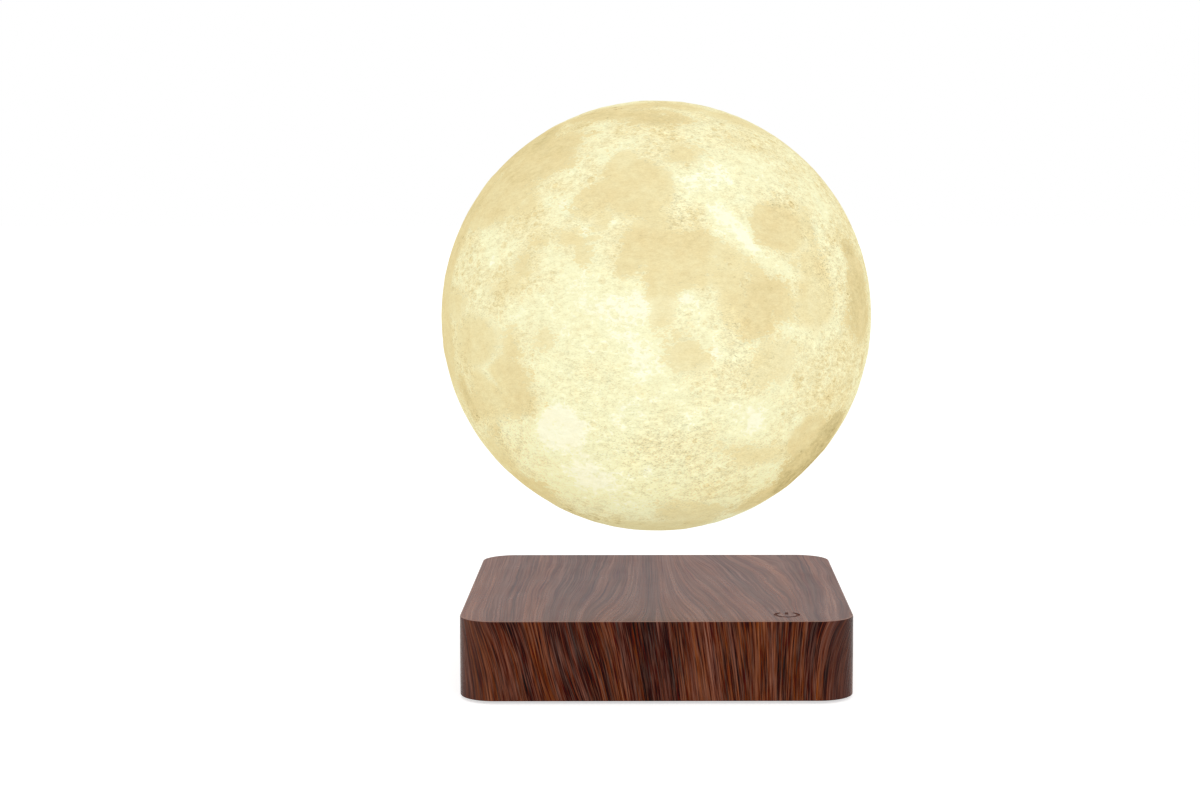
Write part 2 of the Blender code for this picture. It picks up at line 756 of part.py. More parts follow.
def relief_depth(direction, seas, craters):
    """How deep the surface lies under the full globe radius in this direction."""
    depth = 0.0
    shore = 0.0
    for middle, east, north, half_width, half_height in seas:
        if direction.dot(middle) > 0:
            across = direction.dot(east) / half_width
            along = direction.dot(north) / half_height
            shore = max(shore, 1 - soft_step(0.75, 1.15, math.hypot(across, along)))
    depth += SEA_DEPTH * shore
    for middle, radius in craters:
        distance = direction.angle(middle) / radius
        depth += CRATER_DEPTH * (1 - soft_step(0.55, 1.1, distance))
    wave = math.sin(direction.x * 23 + direction.z * 9) * math.sin(direction.y * 19 - direction.x * 7)
    wave *= math.cos(direction.z * 27 + direction.y * 5)
    depth += HIGHLAND_ROUGHNESS * (1 - shore) * (0.5 + 0.5 * wave)
    return depth


def make_moon_shell():
    """The globe: a hollow ball with the moon's relief and a stepped opening below."""
    opening_angle = math.asin(opening_radius / GLOBE_RADIUS)
    inner_radius = GLOBE_RADIUS - GLOBE_WALL
    ledge_inner = opening_radius - LEDGE_WIDTH
    profile = []
    for step in range(MOON_RINGS + 1):
        angle = opening_angle + (math.pi - opening_angle) * step / MOON_RINGS
        flat = 0 if step == MOON_RINGS else GLOBE_RADIUS * math.sin(angle)
        profile.append((flat, -GLOBE_RADIUS * math.cos(angle)))
    inner_start = math.acos((globe_middle - ledge_top) / inner_radius)
    for step in range(MOON_INNER_RINGS + 1):
        angle = math.pi + (inner_start - math.pi) * step / MOON_INNER_RINGS
        flat = 0 if step == 0 else inner_radius * math.sin(angle)
        profile.append((flat, -inner_radius * math.cos(angle)))
    profile.append((ledge_inner, ledge_top - globe_middle))
    profile.append((ledge_inner, ledge_bottom - globe_middle))
    profile.append((opening_radius, ledge_bottom - globe_middle))
    mesh = turned("moon_shell", profile, MOON_STEPS)
    seas = list(sea_fields())
    craters = [(moon_direction(north, east), math.radians(size)) for north, east, size in CRATERS.values()]
    down = Vector((0, 0, -1))
    fade_end = opening_angle + math.radians(RELIEF_FADE_DEGREES)
    skin = GLOBE_RADIUS - GLOBE_WALL / 2
    for vertex in mesh.vertices:
        length = vertex.co.length
        if length > skin:
            direction = vertex.co.normalized()
            fade = soft_step(opening_angle, fade_end, direction.angle(down))
            vertex.co = direction * (length - fade * relief_depth(direction, seas, craters))
    return mesh


def make_globe_cap():
    """The plug that closes the globe and carries the magnet, the coil and the light."""
    outer = []
    reach = math.asin(cap_radius / GLOBE_RADIUS)
    for step in range(CAP_RINGS + 1):
        angle = reach * step / CAP_RINGS
        flat = 0 if step == 0 else GLOBE_RADIUS * math.sin(angle)
        outer.append((flat, -GLOBE_RADIUS * math.cos(angle)))
    rim_start = math.asin(cap_rim_inner_radius / cap_inner_sphere)
    floor_end = math.asin(cap_floor_radius / cap_inner_sphere)
    inner = [(cap_radius, cap_top - globe_middle), (cap_rim_inner_radius, cap_top - globe_middle)]
    for step in range(CAP_RINGS):
        angle = rim_start + (floor_end - rim_start) * step / (CAP_RINGS - 1)
        inner.append((cap_inner_sphere * math.sin(angle), -cap_inner_sphere * math.cos(angle)))
    inner[-1] = (cap_floor_radius, cap_floor - globe_middle)
    inner.append((0, cap_floor - globe_middle))
    return turned("globe_cap", outer + inner, WIDE_ROUND_STEPS)


def receiver_screw_places():
    """The three screw places of the receiver board, a third of a turn apart."""
    for index in range(3):
        angle = math.tau * index / 3 + math.pi / 2
        yield index + 1, holder_screw_orbit * math.cos(angle), holder_screw_orbit * math.sin(angle)


def make_magnet_holder():
    """The cup over the magnet, with a plate and three bosses that carry the receiver board."""
    inner = MAGNET_RADIUS + FIT_GAP
    profile = [
        (inner, magnet_bottom),
        (holder_outer_radius, magnet_bottom),
        (holder_outer_radius, holder_plate_bottom),
        (holder_radius, holder_plate_bottom),
        (holder_radius, holder_top),
        (0, holder_top),
        (0, holder_plate_bottom),
        (inner, holder_plate_bottom),
    ]
    holder = turned("magnet_holder", profile, WIDE_ROUND_STEPS)
    boss_bottom = holder_plate_bottom - HOLDER_BOSS_DROP
    bosses = []
    holes = []
    hole_end = led_post_bottom - RECEIVER_SCREW_LENGTH - FIT_GAP
    for _, x, y in receiver_screw_places():
        boss = disc(
            "boss", HOLDER_BOSS_RADIUS, boss_bottom, holder_plate_bottom + BLEND_OVERLAP, SMALL_ROUND_STEPS
        )
        bosses.append(moved(boss, Matrix.Translation((x, y, 0))))
        hole_radius = RECEIVER_SCREW_RADIUS + FIT_GAP
        holes.append(pilot_hole("pilot", hole_radius, hole_end, holder_top + CUT_OVERRUN, x, y))
    holder = combined("magnet_holder", holder, bosses, "UNION")
    return combined("magnet_holder", holder, holes, "DIFFERENCE")


def make_receiver_board():
    """The round board that turns the received power into light."""
    board = disc("receiver_board", holder_radius, receiver_board_bottom, receiver_board_top, ROUND_STEPS)
    low = receiver_board_bottom - CUT_OVERRUN
    high = receiver_board_top + CUT_OVERRUN
    hole_radius = RECEIVER_SCREW_RADIUS + FIT_GAP
    holes = [pilot_hole("clear_hole", hole_radius, low, high, x, y) for _, x, y in receiver_screw_places()]
    return combined("receiver_board", board, holes, "DIFFERENCE")


def make_led_post():
    """The tube that lifts the lights towards the middle of the globe."""
    inner = LED_POST_RADIUS - LED_POST_WALL
    foot_top = led_post_bottom + LED_POST_FOOT_HEIGHT
    post_end = led_post_bottom + LED_POST_HEIGHT
    profile = [
        (inner, led_post_bottom),
        (LED_POST_FOOT_RADIUS, led_post_bottom),
        (LED_POST_FOOT_RADIUS, foot_top),
        (LED_POST_RADIUS, foot_top),
        (LED_POST_RADIUS, post_end),
        (inner, post_end),
    ]
    return turned("led_post", profile, ROUND_STEPS)


def make_diffuser():
    """The small dome over the lights."""
    inner_radius = DIFFUSER_RADIUS - DIFFUSER_WALL
    outer = []
    inner = []
    for step in range(CAP_RINGS + 1):
        angle = math.pi / 2 * step / CAP_RINGS
        outer.append((DIFFUSER_RADIUS * math.cos(angle), led_bottom + DIFFUSER_RADIUS * math.sin(angle)))
        inner.append((inner_radius * math.cos(angle), led_bottom + inner_radius * math.sin(angle)))
    outer[-1] = (0, led_bottom + DIFFUSER_RADIUS)
    inner[-1] = (0, led_bottom + inner_radius)
    return turned("light_diffuser", outer + inner[::-1], ROUND_STEPS)


clear_scene()

walnut = finish("walnut", (0.115, 0.048, 0.026), 0.42)
black_plastic = finish("black_plastic", (0.02, 0.02, 0.022), 0.55)
grey_silicone = finish("grey_silicone", (0.16, 0.16, 0.165), 0.8)
zinc_steel = finish("zinc_steel", (0.62, 0.62, 0.6), 0.32, metallic=1.0)
board_green = finish("board_green", (0.02, 0.16, 0.06), 0.4)
chip_black = finish("chip_black", (0.015, 0.015, 0.016), 0.45)
ferrite_grey = finish("ferrite_grey", (0.07, 0.068, 0.07), 0.6, metallic=0.3)
nylon_white = finish("nylon_white", (0.78, 0.77, 0.73), 0.5)
copper_wire = finish("copper_wire", (0.72, 0.29, 0.13), 0.35, metallic=1.0)
core_steel = finish("core_steel", (0.33, 0.33, 0.34), 0.4, metallic=1.0)
nickel = finish("nickel", (0.76, 0.75, 0.72), 0.22, metallic=1.0)
can_aluminium = finish("can_aluminium", (0.7, 0.71, 0.72), 0.35, metallic=1.0)
moon_plastic = finish("moon_plastic", (0.93, 0.87, 0.66), 0.6, glow=0.6)
led_white = finish("led_white", (0.95, 0.95, 0.92), 0.4, glow=1.0)
led_amber = finish("led_amber", (0.95, 0.75, 0.3), 0.4, glow=1.0)
frosted_plastic = finish("frosted_plastic", (0.92, 0.92, 0.9), 0.6, alpha=0.8)

# Base
add("base_shell", make_base_shell(), walnut)
add("bottom_cover", make_bottom_cover(), black_plastic)
foot_mesh = disc("foot", FOOT_RADIUS, 0, FOOT_PROUD + FOOT_SEAT_DEPTH, ROUND_STEPS, bevel=FOOT_EDGE_BEVEL)
for corner, x, y in corners(foot_place):
    add(f"foot_{corner}", foot_mesh, grey_silicone, at=(x, y, 0))

cover_screw_mesh = make_screw(
    "cover_screw",
    COVER_SCREW_RADIUS,
    COVER_SCREW_LENGTH,
    COVER_SCREW_HEAD_RADIUS,
    COVER_SCREW_HEAD_HEIGHT,
)
cover_screw_mesh = moved(cover_screw_mesh, Matrix.Rotation(math.pi, 4, "X"))
for corner, x, y in corners(boss_place):
    add(f"cover_screw_{corner}", cover_screw_mesh, zinc_steel, at=(x, y, screw_seat))

add("main_board", make_main_board(), board_green)
board_screw_mesh = make_screw(
    "board_screw",
    BOARD_SCREW_RADIUS,
    BOARD_SCREW_LENGTH,
    BOARD_SCREW_HEAD_RADIUS,
    BOARD_SCREW_HEAD_HEIGHT,
)
for corner, x, y in corners(post_place):
    add(f"board_screw_{corner}", board_screw_mesh, zinc_steel, at=(x, y, carrier_bottom))

add("coil_carrier", make_coil_carrier(), nylon_white)
ring_mesh = ring(
    "ring_magnet",
    ring_inner_radius,
    ring_outer_radius,
    magnets_bottom,
    magnets_bottom + RING_HEIGHT,
    WIDE_ROUND_STEPS,
)
add("ring_magnet", ring_mesh, ferrite_grey)

bobbin_mesh = make_bobbin()
winding_mesh = make_winding()
core_mesh = disc("core", CORE_RADIUS, 0, BOBBIN_HEIGHT, SMALL_ROUND_STEPS)
electromagnets = {"front": -90, "right": 0, "back": 90, "left": 180}
for side, bearing in electromagnets.items():
    x = coil_orbit * math.cos(math.radians(bearing))
    y = coil_orbit * math.sin(math.radians(bearing))
    add(f"bobbin_{side}", bobbin_mesh, black_plastic, at=(x, y, magnets_bottom))
    add(f"winding_{side}", winding_mesh, copper_wire, at=(x, y, magnets_bottom))
    add(f"core_{side}", core_mesh, core_steel, at=(x, y, magnets_bottom))

hall_board_mesh = disc("hall_board", hall_board_radius, 0, HALL_BOARD_THICKNESS, ROUND_STEPS)
add("hall_board", hall_board_mesh, board_green, at=(0, 0, hall_board_bottom))
sensor_mesh = block("hall_sensor", (HALL_SENSOR_WIDTH, HALL_SENSOR_DEPTH, HALL_SENSOR_HEIGHT))
sensor_height = hall_board_bottom + HALL_BOARD_THICKNESS + FIT_GAP + HALL_SENSOR_HEIGHT / 2
for index, bearing in enumerate((0, 120, 240), start=1):
    x = HALL_SENSOR_ORBIT * math.cos(math.radians(bearing))
    y = HALL_SENSOR_ORBIT * math.sin(math.radians(bearing))
    turn = math.radians(bearing + 90)
    add(f"hall_sensor_{index}", sensor_mesh, chip_black, at=(x, y, sensor_height), turn=turn)

transmit_coil_inner = ring_inner_radius
transmit_coil_outer = transmit_coil_inner + TRANSMIT_COIL_WIDTH
ferrite_mesh = ring(
    "ferrite_sheet",
    transmit_coil_inner - FERRITE_LAP,
    transmit_coil_outer + FERRITE_LAP,
    ferrite_bottom,
    ferrite_bottom + FERRITE_THICKNESS,
    WIDE_ROUND_STEPS,
)
add("ferrite_sheet", ferrite_mesh, ferrite_grey)
transmit_coil_mesh = ring(
    "transmit_coil",
    transmit_coil_inner,
    transmit_coil_outer,
    transmit_coil_bottom,
    transmit_coil_bottom + TRANSMIT_COIL_THICKNESS,
    WIDE_ROUND_STEPS,
)
add("transmit_coil", transmit_coil_mesh, copper_wire)

add("power_jack", make_power_jack(), black_plastic)
add("jack_pin", make_jack_pin(), nickel)
chip_mesh = block("controller_chip", (CHIP_WIDTH, CHIP_WIDTH, CHIP_HEIGHT))
chip_place = (
    CHIP_SIDE_MARGIN - board_half,
    CHIP_EDGE_MARGIN - board_half,
    carrier_bottom + CHIP_HEIGHT / 2,
)
add("controller_chip", chip_mesh, chip_black, at=chip_place)
driver_mesh = block("driver_chip", (DRIVER_WIDTH, DRIVER_LENGTH, DRIVER_HEIGHT))
for side, sign in SIDES.items():
    driver_place = (
        sign * (board_half - DRIVER_SIDE_MARGIN),
        board_half - DRIVER_EDGE_MARGIN,
        carrier_bottom + DRIVER_HEIGHT / 2,
    )
    add(f"driver_chip_{side}", driver_mesh, chip_black, at=driver_place)
capacitor_mesh = disc(
    "capacitor",
    CAPACITOR_RADIUS,
    carrier_bottom,
    carrier_bottom + CAPACITOR_HEIGHT,
    ROUND_STEPS,
    bevel=STANDING_EDGE_BEVEL,
)
standing_side = board_half - STANDING_EDGE_MARGIN
standing_end = board_half - STANDING_SIDE_MARGIN
add("capacitor", capacitor_mesh, can_aluminium, at=(-standing_side, -standing_end, 0))
inductor_mesh = block(
    "inductor", (INDUCTOR_WIDTH, INDUCTOR_WIDTH, INDUCTOR_HEIGHT), bevel=STANDING_EDGE_BEVEL
)
inductor_place = (standing_side, standing_end, carrier_bottom + INDUCTOR_HEIGHT / 2)
add("inductor", inductor_mesh, ferrite_grey, at=inductor_place)
add_touch_spring(zinc_steel)

# Magnet that floats, on its own axis
float_axis = add_axis("float_axis", magnet_bottom)
magnet_mesh = disc("float_magnet", MAGNET_RADIUS, 0, MAGNET_HEIGHT, WIDE_ROUND_STEPS, bevel=MAGNET_EDGE_BEVEL)
add("float_magnet", magnet_mesh, nickel, at=(0, 0, magnet_bottom), carrier=float_axis)

# Globe, which turns about the same axis
globe_axis = add_axis("globe_axis", globe_middle, carrier=float_axis)
bpy.context.view_layer.update()


def add_to_globe(name, mesh, material, at=(0, 0, 0)):
    """Places one sub-part on the globe's axis, its height measured from the ground."""
    part = add(name, mesh, material, at=at)
    part.parent = globe_axis
    part.location.z -= globe_middle
    return part


add_to_globe("moon_shell", make_moon_shell(), moon_plastic, at=(0, 0, globe_middle))
add_to_globe("globe_cap", make_globe_cap(), moon_plastic, at=(0, 0, globe_middle))
add_to_globe("magnet_holder", make_magnet_holder(), nylon_white)
receive_coil_mesh = ring(
    "receive_coil",
    receive_coil_inner_radius,
    receive_coil_outer_radius,
    receive_coil_bottom,
    receive_coil_bottom + RECEIVE_COIL_THICKNESS,
    WIDE_ROUND_STEPS,
)
add_to_globe("receive_coil", receive_coil_mesh, copper_wire)
add_to_globe("receiver_board", make_receiver_board(), board_green)
receiver_screw_mesh = make_screw(
    "receiver_screw",
    RECEIVER_SCREW_RADIUS,
    RECEIVER_SCREW_LENGTH,
    RECEIVER_SCREW_HEAD_RADIUS,
    RECEIVER_SCREW_HEAD_HEIGHT,
)
for index, x, y in receiver_screw_places():
    add_to_globe(f"receiver_screw_{index}", receiver_screw_mesh, zinc_steel, at=(x, y, led_post_bottom))
add_to_globe("led_post", make_led_post(), nylon_white)
led_board_mesh = disc("led_board", LED_BOARD_RADIUS, led_board_bottom, led_board_top, ROUND_STEPS)
add_to_globe("led_board", led_board_mesh, can_aluminium)
led_mesh = {
    "warm": block("warm_led", (LED_WIDTH, LED_WIDTH, LED_HEIGHT)),
    "cool": block("cool_led", (LED_WIDTH, LED_WIDTH, LED_HEIGHT)),
}
led_finish = {"warm": led_amber, "cool": led_white}
for tone, bearing in (("warm", 0), ("cool", 90)):
    for index in range(2):
        angle = math.radians(bearing) + math.pi * index
        x = LED_ORBIT * math.cos(angle)
        y = LED_ORBIT * math.sin(angle)
        place = (x, y, led_bottom + LED_HEIGHT / 2)
        add_to_globe(f"{tone}_led_{index + 1}", led_mesh[tone], led_finish[tone], at=place)
add_to_globe("light_diffuser", make_diffuser(), frosted_plastic)
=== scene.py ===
"""Looks of the levitating lamp: a lit moon globe that floats over a square walnut base.

Metres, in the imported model's frame: +Z up, the front with the touch mark at -Y.
Screen colours are written as 0 to 255 values, and screen_colour turns them linear.
"""

import json
import math

import bmesh
import bpy
import numpy as np
from mathutils import Matrix, Vector, noise


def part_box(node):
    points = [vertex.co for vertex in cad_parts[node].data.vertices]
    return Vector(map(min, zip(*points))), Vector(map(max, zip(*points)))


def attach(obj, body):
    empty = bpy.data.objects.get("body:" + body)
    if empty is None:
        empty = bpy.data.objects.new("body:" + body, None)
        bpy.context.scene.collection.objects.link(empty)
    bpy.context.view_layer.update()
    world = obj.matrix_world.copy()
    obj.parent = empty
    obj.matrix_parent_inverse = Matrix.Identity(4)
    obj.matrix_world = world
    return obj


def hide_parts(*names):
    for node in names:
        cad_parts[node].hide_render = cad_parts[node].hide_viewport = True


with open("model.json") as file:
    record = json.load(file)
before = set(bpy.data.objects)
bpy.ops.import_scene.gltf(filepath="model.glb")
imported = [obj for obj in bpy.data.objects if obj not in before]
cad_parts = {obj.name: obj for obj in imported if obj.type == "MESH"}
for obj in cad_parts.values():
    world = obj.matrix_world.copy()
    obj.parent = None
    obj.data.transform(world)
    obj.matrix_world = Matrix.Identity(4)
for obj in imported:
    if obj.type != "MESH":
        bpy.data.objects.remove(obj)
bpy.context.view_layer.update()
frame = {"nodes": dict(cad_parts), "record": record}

record = frame["record"]

# The photograph's view
CAMERA_PLACE = (-0.00183, -0.80576, 0.17459)
CAMERA_PITCH_DEGREES = 84.2413
CAMERA_YAW_DEGREES = -0.3322
LENS_MM = 69.33
SENSOR_MM = 36.0
SHIFT_X = -0.05361

# Studio: a pale floor, an even surround and one large soft lamp
SURROUND_ON_OBJECT = 0.72
SURROUND_SEEN = 1.0
LAMP_PLACE = (0.25, -1.80, 0.45)
LAMP_SIZE = 1.5
LAMP_LEVEL = 0.27
FLOOR_HALF = 6.0
FLOOR_COLOUR = (232, 232, 232)
FLOOR_SEEN_GLOW = 0.62

# Base, read from the frame
casing_low, casing_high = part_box("base_shell")
cover_low, cover_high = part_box("bottom_cover")
jack_low, jack_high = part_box("power_jack")
pin_low, pin_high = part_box("jack_pin")
base_half = casing_high.x
casing_bottom = casing_low.z
casing_top = casing_high.z
jack_height = (jack_low.z + jack_high.z) / 2

# Sizes that the casing's finer surface adds to the frame's boxes
BASE_WALL = 0.0028
TOP_THICKNESS = 0.0024
CORNER_RADIUS = 0.012
CORNER_STEPS = 20
TOP_EDGE = 0.0004
BOTTOM_EDGE = 0.0003
EDGE_STEPS = 3
BOSS_RADIUS = 0.004
SOCKET_RADIUS = 0.0052
FIT_GAP = 0.0003
OVERRUN = 0.002
TINY = 0.000001
# Upward share of a face's normal: least on level faces, then least and most on the eased edge
LEVEL_SLOPE = 0.75
EASED_SLOPE = 0.5
FLAT_SLOPE = 0.99

# Touch mark: an open ring with a bar, engraved near the front right corner
MARK_PLACE = (0.043, -0.0540)
MARK_RADIUS = 0.0038
MARK_LINE = 0.0011
MARK_DEPTH = 0.0002
MARK_OPEN_DEGREES = 62
MARK_BAR = 0.0036
MARK_STEPS = 40

# Small turned pieces
ROUND_STEPS = 48
FOOT_EDGE = 0.0004
FOOT_DIMPLE_DEPTH = 0.00015
FOOT_DIMPLE_INSET = 0.0012
SCREW_SHANK_RADIUS = 0.0013
SCREW_HEAD_HEIGHT = 0.0012
SCREW_HEAD_EDGE = 0.0004
SCREW_CROSS_LENGTH = 0.0032
SCREW_CROSS_WIDTH = 0.0007
SCREW_CROSS_DEPTH = 0.0007
JACK_EDGE = 0.0004
JACK_BORE_RADIUS = 0.0032
JACK_BORE_DEPTH = 0.010
JACK_MOUTH = 0.0005
PIN_TIP = 0.0006
COVER_SEAT_DEPTH = 0.0013
SEAM_GAP = 0.00015

# Globe
globe_joint = next(joint for joint in record["behaviour"]["joints"] if joint["name"] == "globe_spin")
globe_middle = Vector(globe_joint["pos_m"])
globe_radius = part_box("moon_shell")[1].x
OPENING_RADIUS = 0.033
LEDGE_RADIUS = 0.030
LEDGE_LOW = 0.002
LEDGE_THICKNESS = 0.002
GLOBE_WALL = 0.002
CAP_RIM_INNER = 0.0293
CAP_WALL = 0.0014
CAP_FLOOR_RADIUS = 0.022
GLOBE_CELLS = 124
INNER_RINGS = 12
NORTH_TURN_DEGREES = -26.0
NORTH_TILT_DEGREES = -10.7
DENSE_MESH = 50000

# Relief of the globe
SURFACE_MARGIN = 0.00008
SEA_DEPTH = 0.00016
HIGHLAND_RELIEF = 0.00008
RELIEF_FADE_DEGREES = 5.0
HILL_SCALE = 16
# Roughness, step in fineness and number of the hills' layers of noise
HILL_LAYERS = (0.9, 2.1, 5)

# Craters: how many, how wide, and how much of their relief the seas hide
CRATER_COUNT = 520
FRESH_CRATER_COUNT = 70
CRATER_SEED = 11
SMALLEST_CRATER_DEGREES = 0.75
LARGEST_CRATER_DEGREES = 5.5
CRATER_SIZE_POWER = 0.35
CRATER_SIZE_SPREAD = 0.55
FILLED_BY_SEA = 0.8
# Shape in crater radii, the rim's height in depths, and the brightness of a rim of one degree
CRATER_DEPTH = 0.016
FLOOR_EDGE = (0.55, 0.95)
RIM_WIDTH = 0.2
RIM_REACH = 1.5
RAY_REACH = 3
RIM_HEIGHT = 0.4
CRATER_MARK = 0.08
# Strength and width of the bright ground round a fresh crater
FRESH_GLOW = ((0.22, 1.1), (0.08, 2))

# Noise that bends the shores, its size in shares of the globe's radius
SHORE_SEED = 11
BEND_SCALE = 5.5
BEND_SIZE = 0.028
RIPPLE_SCALE = 14
RIPPLE_SIZE = 0.012
RIPPLE_START = Vector((7, 3, 5))

# How firmly the nearest sea sets the darkness, and the depth given on the moon's other side
NEAREST_SEA = 14
FAR_OUTSIDE = -9

# Seas of the moon in degrees: north, east, half width, half height, tilt, darkness
# Some seas at the rim of the disc that faces the front, in the north, north west and south east, are
# made darker and wider, partly as painted shade for the darkening at the globe's rim
SEAS = (
    (17.2, 60.2, 8.6, 6.7, 0, 0.82), (27.5, 20, 8.8, 9, 0, 0.72), (32, 16.5, 5.5, 6, 0, 0.68),
    (24, 9.6, 4.6, 4.2, 0, 0.88), (17.5, 25.5, 3.6, 3.5, 0, 0.62), (9.5, 25.5, 8.5, 6.5, 0, 0.9),
    (11, 34.8, 6.8, 5, 0, 0.9), (4.5, 31.5, 10, 6, 0, 0.8), (8.5, 43.5, 5, 2.8, -35, 0.52),
    (1.8, 26.5, 6.5, 5.5, 0, 0.8), (5, 19.5, 4, 4, 0, 0.75), (18.5, 11.5, 3, 2.4, 0, 0.6),
    (-5, 26.5, 2.8, 6, 0, 0.5), (2.5, 44, 6, 3, -15, 0.6), (-1, 54.5, 6.8, 6, -20, 0.92),
    (-6.5, 52, 6.5, 6.5, 0, 0.88), (3.5, 52.5, 4.5, 2.6, -40, 0.7), (-3, 46, 4, 5, 0, 0.62),
    (-18.5, 55, 4.4, 5.5, -10, 0.38), (-16.3, 34.2, 5, 4.5, 0, 0.42), (-12.2, 31, 3, 2, 30, 0.5),
    (13, 4, 4.6, 2.8, 0, 0.62), (20.5, 7.5, 4.2, 2.6, -10, 0.78), (8, 7.5, 2.8, 2.4, 0, 0.58),
    (7, -10, 2.6, 3, 0, 0.75), (12.5, -5.5, 1.6, 1.2, 0, 0.8), (3, -15, 3.6, 2.4, 0, 0.5),
    (38, -19, 13, 9, 20, 1.02), (37.5, 15.5, 3.2, 2.6, 0, 0.55), (45, -10, 8, 5, 0, 0.88),
    (27, -27, 12, 8, 0, 0.8), (22.5, -13.5, 5.5, 3, 0, 0.66), (53, -8, 2.4, 1.3, 0, 1.3),
    (54.5, 27.5, 7.8, 3.4, 0, 1.12), (58.5, 13, 12, 3.4, 0, 1.06), (67, 22, 17, 4, 0, 0.9),
    (60.5, -9, 11, 4, 0, 1.15), (65.5, -2, 8, 3.5, 0, 1.15), (60, 66, 8, 4, 0, 0.82),
    (56, 73, 7, 3.6, 0, 0.66), (38.5, 34, 4.6, 3.4, 0, 0.75), (43.5, 62, 0.9, 0.9, 0, 1.3),
    (55, 62, 1.6, 0.9, 0, 1), (46, 55, 1.2, 0.8, 0, 0.9), (14, 90, 4.8, 3.8, 0, 1.25),
    (18, 85.5, 1.6, 1.2, 0, 1.25), (-0.5, 89.5, 4, 5.4, 0, 1.3), (-5, 87.5, 3, 2.4, 0, 1.15),
    (3, 93, 7.6, 11.5, 0, 1.12), (7.5, 70, 6, 4.6, 0, 0.78), (0, 71, 7, 9, 0, 0.55),
    (17, 70.5, 2.6, 5, 0, 0.6), (-4, 58.5, 4, 5, 0, 0.72), (-17, 60, 3, 5, 0, 0.34),
    (-26, -31, 12, 5.5, 0, 0.8), (-21.5, -31, 5, 4.6, 0, 0.66), (-7.5, 45, 2.6, 2.2, 0, 0.5),
    (1.5, 66.5, 3.2, 3, 0, 0.8), (0, -39, 6, 4, 0, 0.55), (7.5, 63.5, 1.8, 1, -20, 0.7),
    (-25, -15.5, 4.8, 3.6, 0, 0.98), (-28.5, -20, 6, 2.8, 0, 0.95), (-20, -17.5, 6.4, 6.4, 0, 0.82),
    (-13.5, -14, 3.4, 3.4, 0, 0.72), (-10.5, -28, 9.5, 6, 0, 0.66), (-23, -43.5, 3.4, 5.5, 10, 1.2),
    (-34.5, -34, 3, 1.6, 15, 1), (-31, -22, 1.2, 0.9, 0, 0.9), (-2, -52, 10, 18, 0, 0.8),
    (20, -51, 11, 14, 0, 0.95), (31, -42, 8, 10, 0, 0.95), (48, -40, 16, 11, 0, 1.12),
    (-45, 95, 10, 9, 0, 1.2), (-46, 101, 12, 12, 0, 1.45), (-36, 99, 9, 8.5, 0, 1.4),
    (-60, 96, 7, 7, 0, 1.1), (-69, 54, 10.5, 5, 0, 0.6), (-76, 70, 6, 4, 0, 0.75),
    (-37, 83, 7.5, 7, 0, 0.88), (-43, 60, 9, 2.4, 0, 0.5), (-84, 20, 12, 9, 0, 0.5),
    (-55, -54, 14, 8, 0, 0.85), (-42, -47, 7, 5, 0, 0.62), (-11, -4.5, 2, 1.5, 0, 0.42),
    (27, 148, 5.5, 4.5, 0, 0.9), (-19.5, -95, 6.5, 6.5, 0, 0.8), (-34, 163, 6, 4.5, 10, 0.75),
    (-47, 178, 14, 10, 0, 0.55), (-56, -164, 16, 11, 20, 0.5), (5, 146, 4, 3, 0, 0.6),
)
